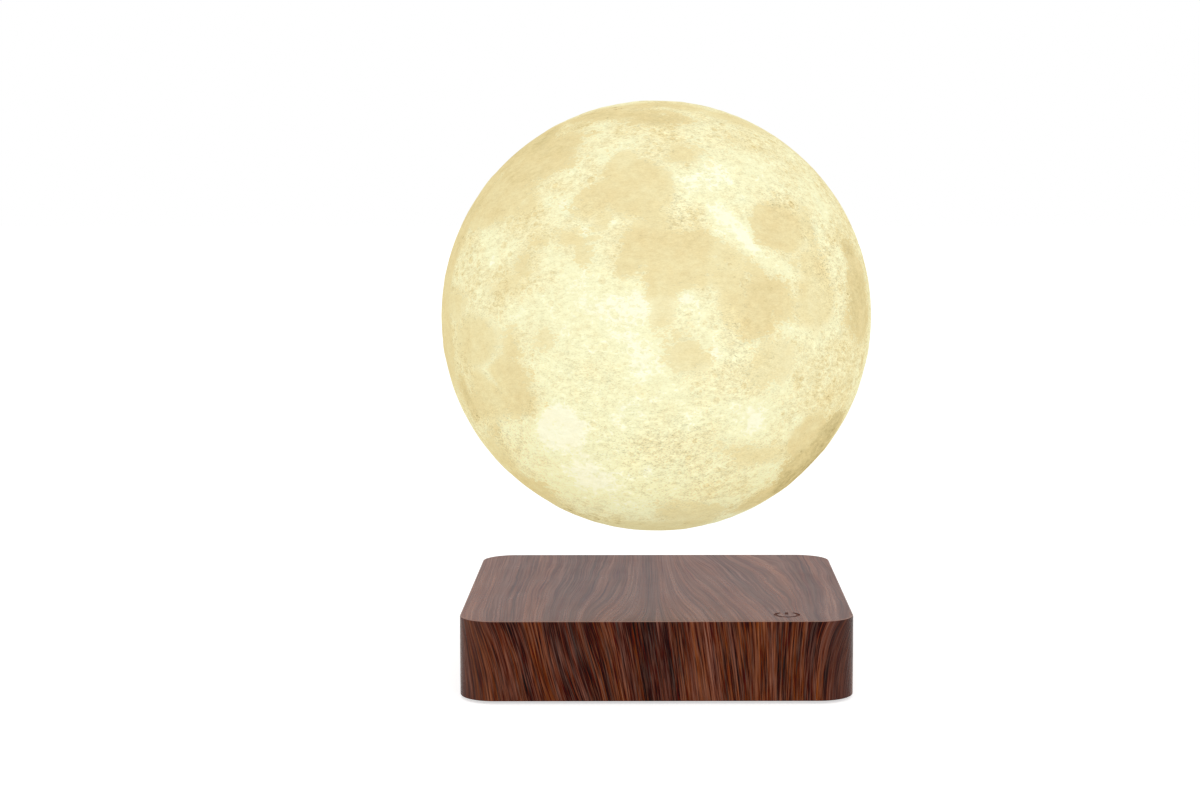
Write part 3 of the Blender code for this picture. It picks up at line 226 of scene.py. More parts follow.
# Bright ground, and dimmer ground below zero, in degrees: north, east, radius, strength
BRIGHT_GROUND = (
    (27, 52, 3.5, 0.45), (51, -1, 3, 0.4), (45, 4, 3, 0.3), (-9, 1, 4, 0.35), (-3, 22, 3.5, 0.6),
    (-27, 34, 3, 0.45), (-48, 82, 4, 0.3), (15, 34, 2.5, 0.4), (21, -1, 3.5, 0.4), (27, 3.5, 2.5, 0.35),
    (10, 10, 3, 0.4), (-15, 40, 3.5, 0.6), (-15, 52, 3.5, 0.3), (-33, 16, 5, 0.6), (-31, 52, 4, 0.35),
    (-39, 46, 6.5, 0.38), (-42, 4, 6, 0.45), (-15, -13, 3, 0.35), (-21, -7, 3, 0.3), (-51, 0, 8, 0.25),
    (-51, -37, 5, 0.45), (-64, 21, 7, 0.2), (-64, 67, 5, 0.6), (33, 34.5, 3, -0.45),
    (15, 65.5, 3, -0.5), (-27, -46, 4, -0.6), (-57, 52, 6, -0.22), (62, 2, 7, -0.6),
    (-69, -44, 8, -0.5), (-56, -18, 14, 0.22), (9, -1, 3, 0.4), (39, 40, 3, 0.3), (-15, -37, 4, -0.35),
    (-51, 31, 5, 0.3), (-69, 34, 6, -0.35), (-28, -12, 3.6, -0.45), (-45, -40, 7, -0.25),
    (-69, 21, 5, 0.3), (-39, 92, 6, -0.3), (-2, -30, 4, -0.15), (-51, 88, 5, 0.2), (21, -43, 4, -0.3),
    (4, 7, 6, 0.4), (-3, 10, 8.5, 0.66), (-9, 17, 8, 0.56), (-15, 22, 7, 0.55), (-5, -6, 7, 0.5),
    (-14, 4, 10, 0.4), (-22, 25, 5, 0.6), (-25, 12, 9, 0.25), (-46, -5, 12, 0.32), (-30, 6, 10, 0.28),
    (-29, 22, 9, 0.48), (-22, -5, 7, 0.25), (5, -33, 8, 0.25), (-34, -6, 5.4, 1.8), (-36, -17, 5, 0.5),
    (-33, -4, 6, 0.5), (-40, -24, 6, 0.15), (26, 36, 4.5, 0.68), (31, 31, 3.2, 0.5), (33, 44, 6, 0.38),
    (36, 58, 6, 0.6), (29.5, 57, 4, 0.4), (26.5, 47, 5, 0.5), (22.5, 41, 3, 0.12), (20, 41, 2.4, 0.85),
    (18.3, 44.3, 2.6, 1.2), (15.8, 47.5, 2.8, 1.2), (13, 49.5, 2.4, 1.1), (10.2, 51, 2.6, 1),
    (7.6, 55, 2.8, 0.85), (5.5, 59.5, 2.8, 0.75), (14.5, 43, 2.8, 0.75), (30, 68, 9, 0.25),
    (33, 83, 8, 0.45), (49, 44, 6, 0.35), (32, -1, 3.4, 0.42), (25.5, -6, 3, 0.25), (-2.3, 33, 2.4, 1),
    (-6.5, 37, 3, 0.5), (-8.5, 42, 2.6, 0.3), (-11, 37.5, 3, 0.5), (-16.5, 41, 2.4, 0.9),
    (-9, 61.5, 2.8, 0.9), (-33.5, 57, 5, 1.2), (-33, 37, 1.8, 0.15), (-28.5, 46, 4, 0.45),
    (-21.5, 58.5, 3.2, 0.9), (10, -21, 1.9, 1.2), (16, -26, 4, 0.2), (-6, -11, 2.6, 0.6),
    (23, 1, 2.4, 1), (-15, 29, 4.5, 0.5), (15, 73, 2.6, 0.7), (5, 5.5, 3.2, 0.35), (38, 9.5, 3, 0.8),
    (45, 3, 5, 0.4), (43, 18, 5, 0.3), (15.3, 7.7, 1.4, 1.4), (16.7, 15, 1.3, 1.4), (16, 22.5, 1, 0.6),
    (9, 80, 4, 0.4), (-49, 70, 5, 0.4), (-52, 22, 9, 0.22), (-58, 2, 12, 0.22), (7, -2, 2.8, 0.5),
    (-53, -15, 9, 0.45), (-67, 18, 8, 0.35), (-55, 35, 9, 0.4), (-55, 53, 9, 0.32), (-45, 50, 5, 0.4),
    (-52, 75, 5, 0.35), (-30, 57, 5, 0.5), (-26, 30, 5, 0.4), (-15, 34, 6, 0.25), (-14, 50, 7, 0.3),
    (-60, -28, 8, 0.15), (11, -15, 5, 0.55), (24, 83, 4.5, 0.7), (16.5, 53, 2.4, 0.9), (53, 0, 4, 0.4),
    (10, 130, 18, 0.5), (30, -150, 20, 0.5), (-10, -125, 20, 0.55), (-15, 115, 10, 0.6),
    (55, 120, 15, 0.35),
)
# Rough ground with dark flecks in degrees: north, east, radius, strength
ROUGH_GROUND = (
    (7, 72.5, 6, 1.3), (16, 70.5, 4, 0.8), (24, 62, 4, 0.9), (27, 48, 4, 0.7), (-16, 46, 5, 0.9),
    (-8, 45, 3.5, 1), (-19, 55, 6, 0.6), (19, 8, 4, 0.9), (18.5, 33, 5, 0.8), (23.5, 30.5, 2.5, 0.7),
    (-42, 18, 16, 0.75), (-50, 45, 14, 0.65), (-22, 6, 9, 0.5), (50, 45, 16, 0.45), (14, 82, 8, 0.7),
    (-5, 78, 10, 0.4), (-35, -30, 7, 0.8), (0, 170, 60, 0.35),
)
# Shores that run smoothly, in degrees: north, east, radius, strength
EVEN_SHORES = (
    (17.2, 60.2, 12, 1), (27, 20, 12, 0.6), (-16.3, 34.2, 7, 0.4),
)


def screen_colour(red, green, blue):
    """Linear colour of a screen colour that is written from 0 to 255."""
    linear = []
    for value in (red, green, blue):
        share = value / 255
        linear.append(share / 12.92 if share <= 0.04045 else ((share + 0.055) / 1.055) ** 2.4)
    return (*linear, 1.0)


def screen_stops(*rows):
    """Stops of a colour ramp, each written as its place and a screen colour."""
    return [(place, screen_colour(*colour)) for place, *colour in rows]


# Node helpers


class Signal:
    """An output of a node, which adds, multiplies and so on like a number."""

    def __init__(self, socket):
        self.socket = socket
        self.tree = socket.id_data

    def __add__(self, other):
        return calc("ADD", self, other)

    def __sub__(self, other):
        return calc("SUBTRACT", self, other)

    def __rsub__(self, other):
        return calc("SUBTRACT", other, self)

    def __mul__(self, other):
        return calc("MULTIPLY", self, other)

    def __truediv__(self, other):
        return calc("DIVIDE", self, other)

    def __abs__(self):
        return calc("ABSOLUTE", self)


def fill(socket, value):
    """Links a signal to this input, or sets the input's own value."""
    if isinstance(value, Signal):
        value.tree.links.new(value.socket, socket)
    else:
        socket.default_value = value


def put(tree, kind, sockets=None, **settings):
    """Adds a node with its settings and inputs, and returns its outputs by number and by name."""
    node = tree.nodes.new(kind)
    for name, value in settings.items():
        setattr(node, name, value)
    for name, value in (sockets or {}).items():
        fill(node.inputs[name], value)
    outputs = {}
    for index, socket in enumerate(node.outputs):
        outputs[index] = outputs[socket.name] = Signal(socket)
    return outputs


def beside(values, kind, sockets, **settings):
    """Outputs of a new node in the tree that these values come from."""
    tree = next(value.tree for value in values if isinstance(value, Signal))
    return put(tree, kind, sockets, **settings)


def calc(operation, *values, clamp=False):
    """Output of a Math node."""
    settings = {"operation": operation, "use_clamp": clamp}
    return beside(values, "ShaderNodeMath", dict(enumerate(values)), **settings)[0]


def vector_calc(operation, *values):
    """Output of a Vector Math node."""
    return beside(values, "ShaderNodeVectorMath", dict(enumerate(values)), operation=operation)[0]


def joined(*parts):
    """Vector of these two or three numbers."""
    return beside(parts, "ShaderNodeCombineXYZ", dict(zip("XYZ", parts)))["Vector"]


def mixed(share, first, second):
    """Number that goes from the first to the second as the share goes from 0 to 1."""
    values = (share, first, second)
    return beside(values, "ShaderNodeMix", dict(zip((0, 2, 3), values)), data_type="FLOAT")[0]


def mixed_colour(share, first, second, blend="MIX"):
    """Colour that goes from the first to the second as the share goes from 0 to 1."""
    values = (share, first, second)
    settings = {"data_type": "RGBA", "blend_type": blend}
    return beside(values, "ShaderNodeMix", dict(zip((0, 6, 7), values)), **settings)[2]


def spread(value, low, high, to_low=0.0, to_high=1.0, soft=True):
    """Maps low to high onto another range, with soft ends."""
    kind = "SMOOTHSTEP" if soft else "LINEAR"
    sockets = {"Value": value, "From Min": low, "From Max": high, "To Min": to_low, "To Max": to_high}
    return put(value.tree, "ShaderNodeMapRange", sockets, interpolation_type=kind, clamp=True)["Result"]


def clouds(place, scale, detail=3.0, roughness=0.5, distortion=0.0):
    """Noise from about 0.25 to 0.75."""
    sockets = {
        "Vector": place,
        "Scale": scale,
        "Detail": detail,
        "Roughness": roughness,
        "Distortion": distortion,
    }
    return put(place.tree, "ShaderNodeTexNoise", sockets)["Fac"]


def waves(*settings):
    """The same noise about zero."""
    return clouds(*settings) - 0.5


def ramp(value, stops, ease="LINEAR"):
    """Colour that follows these (place, colour) stops."""
    colour = put(value.tree, "ShaderNodeValToRGB", {"Fac": value})["Color"]
    line = colour.socket.node.color_ramp
    line.interpolation = ease
    while len(line.elements) < len(stops):
        line.elements.new(1.0)
    for element, (place, tone) in zip(line.elements, stops):
        element.position = place
        element.color = tone
    return colour


def level_ramp(value, stops, ease="LINEAR"):
    """Number that follows these (place, number) stops, each number from 0 to 1."""
    return ramp(value, [(place, (level, level, level, 1.0)) for place, level in stops], ease)


def object_place(tree):
    """The point on the object, in metres."""
    return put(tree, "ShaderNodeTexCoord")["Object"]


def split(vector):
    """The numbers of a vector, by X, Y and Z."""
    return put(vector.tree, "ShaderNodeSeparateXYZ", {"Vector": vector})


def new_group(name, inputs, outputs):
    """A shader node group: its tree, its inputs' signals and the sockets of its outputs."""
    tree = bpy.data.node_groups.new(name, "ShaderNodeTree")
    for label, value in inputs.items():
        socket = tree.interface.new_socket(label, in_out="INPUT", socket_type="NodeSocketFloat")
        socket.default_value = value
    for label in outputs:
        kind = "NodeSocketColor" if label == "Color" else "NodeSocketFloat"
        tree.interface.new_socket(label, in_out="OUTPUT", socket_type=kind)
    return tree, put(tree, "NodeGroupInput"), tree.nodes.new("NodeGroupOutput").inputs


def effect(tree, group, **sockets):
    """Places a shared effect in a material and returns its outputs."""
    return put(tree, "ShaderNodeGroup", sockets, node_tree=group)


def new_material(name, colour, **plain):
    """A material and its node tree, with plain values set on the shader's own sockets."""
    material = bpy.data.materials.new(name)
    material.use_nodes = True
    material.diffuse_color = colour
    sockets = material.node_tree.nodes["Principled BSDF"].inputs
    sockets["Base Color"].default_value = colour
    for label, value in plain.items():
        sockets[label.replace("_", " ")].default_value = value
    return material, material.node_tree


def dress(material, colour, rough, height=None, depth=0.0):
    """Links a colour, a roughness and a fine relief, whose height goes over a depth in metres."""
    shader = material.node_tree.nodes["Principled BSDF"].inputs
    fill(shader["Base Color"], colour)
    fill(shader["Roughness"], rough)
    if height is not None:
        bump = put(height.tree, "ShaderNodeBump", {"Height": height, "Distance": depth, "Strength": 1.0})
        fill(shader["Normal"], bump["Normal"])
    return material


def handled(tree, roughness, amount):
    """Roughness with soft marks of handling."""
    return effect(tree, handling, Roughness=roughness, Amount=amount)["Roughness"]


# Effects that several materials share


def make_moulded_skin():
    """Fine spark-eroded texture of moulded plastic, its grain a given number per metre."""
    tree, given, result = new_group("moulded_skin", {"Grains": 2500.0}, ("Height", "Mask"))
    place = object_place(tree)
    fill(result["Height"], clouds(place, given["Grains"], 2.0, 0.6))
    fill(result["Mask"], spread(clouds(place, 60.0), 0.35, 0.65))
    return tree


def make_handling():
    """Roughness that varies softly, as from fingers and wiping."""
    tree, given, result = new_group("handling", {"Roughness": 0.5, "Amount": 0.08}, ("Roughness",))
    place = object_place(tree)
    smears = clouds(place, 35.0, 4.0, 0.6, 0.6)
    specks = clouds(place, 420.0, 2.0)
    marks = smears * 0.75 + specks * 0.25 - 0.5
    shift = marks * given["Amount"] * 4.0
    fill(result["Roughness"], calc("ADD", shift, given["Roughness"], clamp=True))
    return tree


def make_brushed_lines():
    """Fine parallel lines of ground or drawn metal, running along X."""
    tree, _, result = new_group("brushed_lines", {}, ("Height", "Mask"))
    lines = clouds(vector_calc("MULTIPLY", object_place(tree), (0.04, 1.0, 1.0)), 4200.0, 3.0, 0.6)
    fill(result["Height"], lines)
    fill(result["Mask"], spread(lines, 0.35, 0.65))
    return tree


# Walnut: bands read across the front, as (share of the half width, tone)
# The stops at the two rounded corners are partly painted light: the left corner is set paler and the
# right one darker, to even out the lamp that stands to the right
LEFT_BANDS = (
    (-1.1, 0.5), (-0.9, 0.54), (-0.8, 0.46), (-0.74, 0.38), (-0.71, 0.2), (-0.68, 0.26), (-0.63, 0.56),
    (-0.59, 0.4), (-0.56, 0.5), (-0.52, 0.2), (-0.47, 0.17), (-0.44, 0.28), (-0.4, 0.19), (-0.38, 0.2),
    (-0.35, 0.41), (-0.29, 0.26), (-0.26, 0.28), (-0.23, 0.49), (-0.14, 0.44), (-0.1, 0.28),
    (-0.05, 0.1), (-0.02, 0.12), (0.02, 0.32), (0.07, 0.25), (0.1, 0.4),
)
RIGHT_BANDS = (
    (0.1, 0.4), (0.16, 0.51), (0.21, 0.48), (0.275, 0.63), (0.34, 0.39), (0.37, 0.52), (0.42, 0.34),
    (0.46, 0.55), (0.49, 0.4), (0.52, 0.53), (0.55, 0.47), (0.585, 0.63), (0.64, 0.3), (0.67, 0.36),
    (0.7, 0.29), (0.73, 0.5), (0.76, 0.6), (0.79, 0.22), (0.82, 0.28), (0.85, 0.62), (0.885, 0.34),
    (1.1, 0.36),
)
# Lean and bow of the grain across the front, as (share of the half width, sideways run for each rise)
GRAIN_LEAN = (
    (-1.3, 0.1), (-1, 0.24), (-0.8, 0.26), (-0.62, 0.23), (-0.46, 0.27), (-0.33, 0.29), (-0.2, 0.19),
    (0, 0.15), (0.2, 0.14), (0.4, 0.14), (0.5, 0.07), (0.6, 0.01), (0.7, -0.05), (0.82, -0.09),
    (0.95, -0.26), (1.1, -0.4), (1.3, -0.1),
)
GRAIN_BOW = (
    (-1.3, 2), (-1, 6), (-0.8, 4), (-0.62, -1), (-0.45, -1.5), (-0.2, 0), (0.2, 0), (0.6, 0),
    (0.82, -3), (0.98, -10), (1.1, -12), (1.3, 0),
)
# Run of the grain across the top from the front edge to the back, as (share of the half width, metres)
GRAIN_FAN = (
    (-1.3, 0), (-0.66, 0), (-0.36, -0.006), (-0.12, -0.0073), (0.02, 0.004), (0.165, 0.02),
    (0.33, 0.018), (0.52, 0.015), (0.7, 0.007), (0.85, 0), (1.3, 0),
)
GRAIN_HALF = 0.0625
LEAN_RANGE = 0.5
BOW_RANGE = 15.0
FAN_RANGE = 0.03
GRAIN_REACH = 1.35
BAND_REACH = 1.12
BANDS_MEET = 0.10
TOP_STRETCH = 0.25
# Tone that the top face is pulled towards: a painted sheen, paler than the walls, for part of the grey
# sheen that the top shows at a low angle
TOP_SHEEN_TONE = 0.82
# Sway of the grain: scale and roughness of the noise, metres on the walls and more on the top
SWAYS = (
    (30.0, 0.4, 0.0005, 0.0055),
    (150.0, 0.5, 0.0004, 0.0006),
)
# Streaks along the grain: stretch, and scale, detail and roughness of the noise
STREAKS = {
    "broad": (20.0, 150.0, 2.0, 0.5),
    "lines": (36.0, 820.0, 4.0, 0.7),
    "threads": (40.0, 2100.0, 2.0, 0.7),
    "veins": (40.0, 380.0, 3.0, 0.6),
    "pores": (24.0, 2300.0, 1.0, 0.5),
    "hues": (16.0, 160.0, 4.0, 0.62),
    "fibres": (22.0, 1900.0, 2.0, 0.65),
}
straight_half = base_half - CORNER_RADIUS
corner_run = CORNER_RADIUS * math.pi / 2
perimeter = 8 * straight_half + 4 * corner_run
casing_height = casing_top - casing_bottom
WARM_TONES = screen_stops(
    (0.00, 43, 12, 2),
    (0.20, 67, 27, 9),
    (0.45, 98, 47, 22),
    (0.70, 122, 62, 30),
    (1.00, 150, 88, 50),
)
COOL_TONES = screen_stops(
    (0.00, 43, 13, 6),
    (0.20, 65, 28, 18),
    (0.45, 92, 48, 36),
    (0.70, 117, 67, 51),
    (1.00, 145, 94, 74),
)
# Painted sheen on the rounded front corners: the walnut there is tinted grey blue and mixed towards a
# greyer tone, for the pale surround that it reflects at a low angle
CORNER_SHEEN = screen_colour(206, 216, 244)
CORNER_TONE = screen_colour(88, 58, 52)
FIBRE_COLOUR = (0.21, 0.16, 0.14)
# Painted highlight along the eased top edge
EDGE_HIGHLIGHT = screen_colour(168, 136, 127)


def along_front(share, table, reach):
    """Number that follows a table of (share of the half width, number within the reach)."""
    stops = [((place / GRAIN_REACH + 1) / 2, (value / reach + 1) / 2) for place, value in table]
    level = level_ramp(spread(share, -GRAIN_REACH, GRAIN_REACH, soft=False), stops, "CARDINAL")
    return spread(level, 0.0, 1.0, -reach, reach, soft=False)


def banded_tone(place, elsewhere):
    """Tone of the bands at a place across the front, and another tone away from the front."""
    share = spread(place, -BAND_REACH, BAND_REACH, soft=False)
    sides = []
    for table in (LEFT_BANDS, RIGHT_BANDS):
        sides.append(level_ramp(share, [((at / BAND_REACH + 1) / 2, tone) for at, tone in table]))
    bands = mixed(calc("GREATER_THAN", place, BANDS_MEET), *sides)
    return mixed(spread(abs(place), 1.06, 1.20), bands, elsewhere)


def make_walnut_grain():
    """Dark walnut that follows the casing's grain attribute: across and along, in metres."""
    tree, _, result = new_group("walnut_grain", {}, ("Color", "Roughness", "Height"))
    laid = split(put(tree, "ShaderNodeAttribute", attribute_name="grain")["Vector"])
    across = calc("WRAP", laid["X"], perimeter / 2, -perimeter / 2)
    along = laid["Y"]
    share = across / GRAIN_HALF

    on_front = calc("MINIMUM", along, casing_height)
    rise = on_front - casing_height / 2
    bow = along_front(share, GRAIN_BOW, BOW_RANGE)
    lean = along_front(share, GRAIN_LEAN, LEAN_RANGE)
    back = spread(along, casing_height, casing_height + 2 * base_half, soft=False)
    front_left = 1.0 - calc("POWER", 1.0 - back, 3.0)
    curve = mixed(spread(share, -0.1, 0.2), front_left, back)
    fan = along_front(share, GRAIN_FAN, FAN_RANGE)
    straight = across + (bow * rise + lean) * rise + fan * curve

    # Slow waves, wider on the top
    slow_place = joined(across, along * 0.35)
    on_top = spread(along, casing_height, casing_height + 0.02)
    top_face = spread(along, casing_height - 0.0002, casing_height + 0.0008)
    curved = straight
    for scale, roughness, on_walls, more_on_top in SWAYS:
        curved += waves(slow_place, scale, 2.0, roughness) * (on_top * more_on_top + on_walls)

    # Rolled into a circle, so that the grain closes round the four walls
    ring = perimeter / math.tau
    angle = curved / ring
    east = calc("SINE", angle) * ring
    north = calc("COSINE", angle) * ring
    run = along * TOP_STRETCH + on_front * (1 - TOP_STRETCH)
    broad, lines, threads, veins, pores, hues, fibres = (
        waves(joined(east, north, run / stretch), *noise_settings)
        for stretch, *noise_settings in STREAKS.values()
    )

    bands = banded_tone(curved / GRAIN_HALF, spread(broad, -0.22, 0.22, 0.05, 0.80, soft=False))
    vein = spread(abs(veins), 0.004, 0.022, 1.0, 0.0) * (1.0 - top_face * 0.4)
    pits = spread(pores, 0.08, 0.16) * (1.0 - top_face)
    # Painted light: the walls are lighter at the bottom, as from light bounced off the floor, and darker
    # towards the top and on the top face
    shadow = spread(along, 0.0, casing_height, 0.075, -0.045, soft=False)
    tone = bands + broad * 0.12 + lines * 1.1 + threads * 2.0 - vein * 0.20 - pits * 0.24 + shadow
    # Painted sheen: the top face's tone is pulled paler and flatter
    tone = mixed(top_face * 0.44, tone, TOP_SHEEN_TONE)
    tone = calc("MAXIMUM", calc("MINIMUM", tone, 1.0), 0.0)

    # The pale bands are the warmer ones
    hue = spread(hues + (0.38 - bands) * 0.22, -0.12, 0.12)
    walnut = mixed_colour(hue, ramp(tone, WARM_TONES), ramp(tone, COOL_TONES))
    fibre = vector_calc("MULTIPLY", joined(fibres, fibres, fibres), FIBRE_COLOUR)
    walnut = vector_calc("MAXIMUM", vector_calc("ADD", walnut, fibre), (0, 0, 0))
    # Painted sheen: the rounded front corners are tinted greyer and bluer
    off_middle = abs(share)
    corner = spread(off_middle, 0.84, 0.95) * spread(off_middle, 1.14, 1.30, 1.0, 0.0) * 0.6
    pale = mixed_colour(1.0, walnut, CORNER_SHEEN, "MULTIPLY")
    painted_corner_sheen = mixed_colour(0.55, pale, CORNER_TONE)
    walnut = mixed_colour(corner * (1.0 - top_face), walnut, painted_corner_sheen)
    # Painted highlight: the eased top edge is made paler
    fill(result["Color"], mixed_colour(laid["Z"] * 0.75, walnut, EDGE_HIGHLIGHT))
    dull = top_face * spread(tone, 0.40, 0.85, 0.02, -0.02) + back * 0.04
    fill(result["Roughness"], pits * 0.12 + 0.27 + dull)
    fill(result["Height"], tone - pits)
    return tree


moulded_skin = make_moulded_skin()
handling = make_handling()
brushed_lines = make_brushed_lines()
walnut_grain = make_walnut_grain()


# Materials


def altered(colour, gain, lift=0.0):
    """A colour made paler or darker, no channel above 1."""
    return tuple(min(1.0, channel * gain + lift) for channel in colour[:3]) + (1.0,)


def make_walnut():
    """Satin walnut, whose top takes a grey sheen from the pale surround at a low angle."""
    material, tree = new_material("walnut", screen_colour(80, 42, 28), IOR=1.14)
    grain = effect(tree, walnut_grain)
    rough = handled(tree, grain["Roughness"], 0.03)
    return dress(material, grain["Color"], rough, grain["Height"], depth=0.00004)


def make_engraved_walnut():
    """The burnt floor of the touch mark."""
    material, tree = new_material("engraved_walnut", screen_colour(70, 36, 28), IOR=1.2)
    grain = effect(tree, walnut_grain)
    burnt = mixed_colour(0.72, grain["Color"], screen_colour(86, 46, 40))
    rough = calc("ADD", grain["Roughness"], 0.3, clamp=True)
    return dress(material, burnt, rough, grain["Height"], depth=0.00008)


def make_plastic(name, screen, roughness, grains, depth, pale_share):
    """Moulded plastic with a fine skin and soft handling marks."""
    colour = screen_colour(*screen)
    material, tree = new_material(name, colour, IOR=1.46)
    skin = effect(tree, moulded_skin, Grains=grains)
    patchy = mixed_colour(skin["Mask"] * pale_share, colour, altered(colour, 1.5, 0.006))
    return dress(material, patchy, handled(tree, roughness, 0.05), skin["Height"], depth)


def make_metal(name, screen, roughness, lines, stain):
    """Metal with drawn or ground lines and faint stains."""
    colour = screen_colour(*screen)
    material, tree = new_material(name, colour, Metallic=1.0)
    brushed = effect(tree, brushed_lines)
    stains = spread(clouds(object_place(tree), 180.0, 4.0, 0.6), 0.45, 0.70)
    stained = mixed_colour(stains * stain, colour, altered(colour, 0.62))
    rough = calc("ADD", handled(tree, roughness, 0.06), brushed["Mask"] * 0.08, clamp=True)
    return dress(material, stained, rough, brushed["Height"], lines)


def make_board():
    """Green solder mask over copper tracks, with fine weave under it."""
    mask_green = screen_colour(22, 96, 52)
    material, tree = new_material("board_green", mask_green, IOR=1.5)
    place = object_place(tree)
    sockets = {
        "Vector": place,
        "Color1": (0, 0, 0, 1),
        "Color2": (1, 1, 1, 1),
        "Mortar": (0.5, 0.5, 0.5, 1),
        "Scale": 260.0,
        "Mortar Size": 0.06,
        "Brick Width": 1.7,
        "Row Height": 0.35,
    }
    tracks = put(tree, "ShaderNodeTexBrick", sockets)["Fac"]
    lit = (1.0 - tracks) * spread(clouds(place, 90.0, 2.0), 0.44, 0.52)
    printed = mixed_colour(lit, mask_green, screen_colour(44, 128, 70))
    weave = lit + clouds(place, 1800.0, 2.0) * 0.3
    return dress(material, printed, handled(tree, 0.36, 0.05), weave, depth=0.00003)


# Radians of the winding's wave in each metre
WIRE_TURN = 12500.0


def make_copper():
    """Enamelled copper wire, wound in even turns."""
    wire = screen_colour(186, 98, 52)
    material, tree = new_material("copper_wire", wire, Metallic=1.0)
    place = split(object_place(tree))
    radius = calc("SQRT", place["X"] * place["X"] + place["Y"] * place["Y"])
    turns_out, turns_up = (calc("SINE", length * WIRE_TURN) for length in (radius, place["Z"]))
    height = calc("MAXIMUM", turns_out, turns_up)
    # Painted shade: the grooves between the turns are darkened to a deep brown
    wound = mixed_colour(spread(height, -0.6, 0.4, 1.0, 0.0), wire, screen_colour(92, 40, 20))
    return dress(material, wound, handled(tree, 0.3, 0.06), height, depth=0.00006)


def make_ferrite():
    """Pressed and sintered ferrite: dark, with pale grains and small chips."""
    dark = screen_colour(62, 60, 62)
    material, tree = new_material("ferrite", dark, IOR=1.6)
    place = object_place(tree)
    grains = spread(clouds(place, 1600.0, 2.0), 0.56, 0.70)
    chips = spread(clouds(place, 240.0, 4.0, 0.7), 0.60, 0.68)
    colour = mixed_colour(grains * 0.5, dark, screen_colour(104, 102, 104))
    chipped = mixed_colour(chips, colour, screen_colour(40, 38, 40))
    return dress(material, chipped, chips * 0.25 + 0.5, grains - chips, depth=0.00006)


def make_diode(name, screen, glow):
    """A light diode: a soft phosphor square that glows faintly."""
    lens = screen_colour(*screen)
    material, tree = new_material(name, lens, IOR=1.41, Emission_Strength=1.0)
    cloudy = spread(clouds(object_place(tree), 900.0), 0.35, 0.65)
    glowing = tree.nodes["Principled BSDF"].inputs["Emission Color"]
    fill(glowing, mixed_colour(cloudy, (0, 0, 0, 1), glow))
    return dress(material, mixed_colour(cloudy, lens, altered(lens, 0.8, 0.2)), handled(tree, 0.3, 0.04))


# The moon's print: tones from the darkest sea to the brightest ray
MOON_TONES = screen_stops(
    (0.00, 176, 158, 110),
    (0.08, 212, 195, 143),
    (0.16, 230, 213, 160),
    (0.24, 239, 222, 170),
    (0.36, 244, 231, 181),
    (0.50, 248, 239, 194),
    (0.68, 253, 249, 206),
    (0.86, 255, 253, 211),
)
RAY_TONE = (1.06, 1.04, 0.80, 1.0)
PLASTIC_SHARE = (0.367, 0.396, 0.556)
GLOW_SHARE = (0.664, 0.632, 0.472)
GROUND_TONE = 0.435
SEA_TONE = 0.5
SEA_TONE_LOSS = 0.28
# Colours gained or lost in the plastic's soft patches
PATCH_TINT = (-0.02, 0.05, 0.14)
# The foot of the globe glows cooler, from one share of its radius below the middle to the other
FOOT_REACH = (0.72, 0.96)
FOOT_TINT = (-0.02, 0.042, 0.21)


def moon_axes():
    """Rotation from the moon's own axes to the globe's."""
    turn = Matrix.Rotation(math.radians(NORTH_TURN_DEGREES), 3, "Z")
    return Matrix.Rotation(math.radians(NORTH_TILT_DEGREES), 3, "X") @ turn


def pocks(place, scale):
    """Small craters: a pale rim round a darker floor, in about half of the cells."""
    cell = put(place.tree, "ShaderNodeTexVoronoi", {"Vector": place, "Scale": scale})
    dice = put(place.tree, "ShaderNodeSeparateColor", {"Color": cell["Color"]})["Red"]
    away = cell["Distance"] / (dice * 0.30 + 0.16)
    rim = spread(abs(away - 1.0), 0.0, 0.35, 1.0, 0.0)
    floor = spread(away, 0.5, 0.95, 1.0, 0.0)
    return (rim - floor) * spread(dice, 0.35, 0.55)


def tinted(colour, share, tint):
    """The colour with each channel raised by its part of the tint times the share."""
    return vector_calc("MULTIPLY", colour, joined(*(share * amount + 1.0 for amount in tint)))


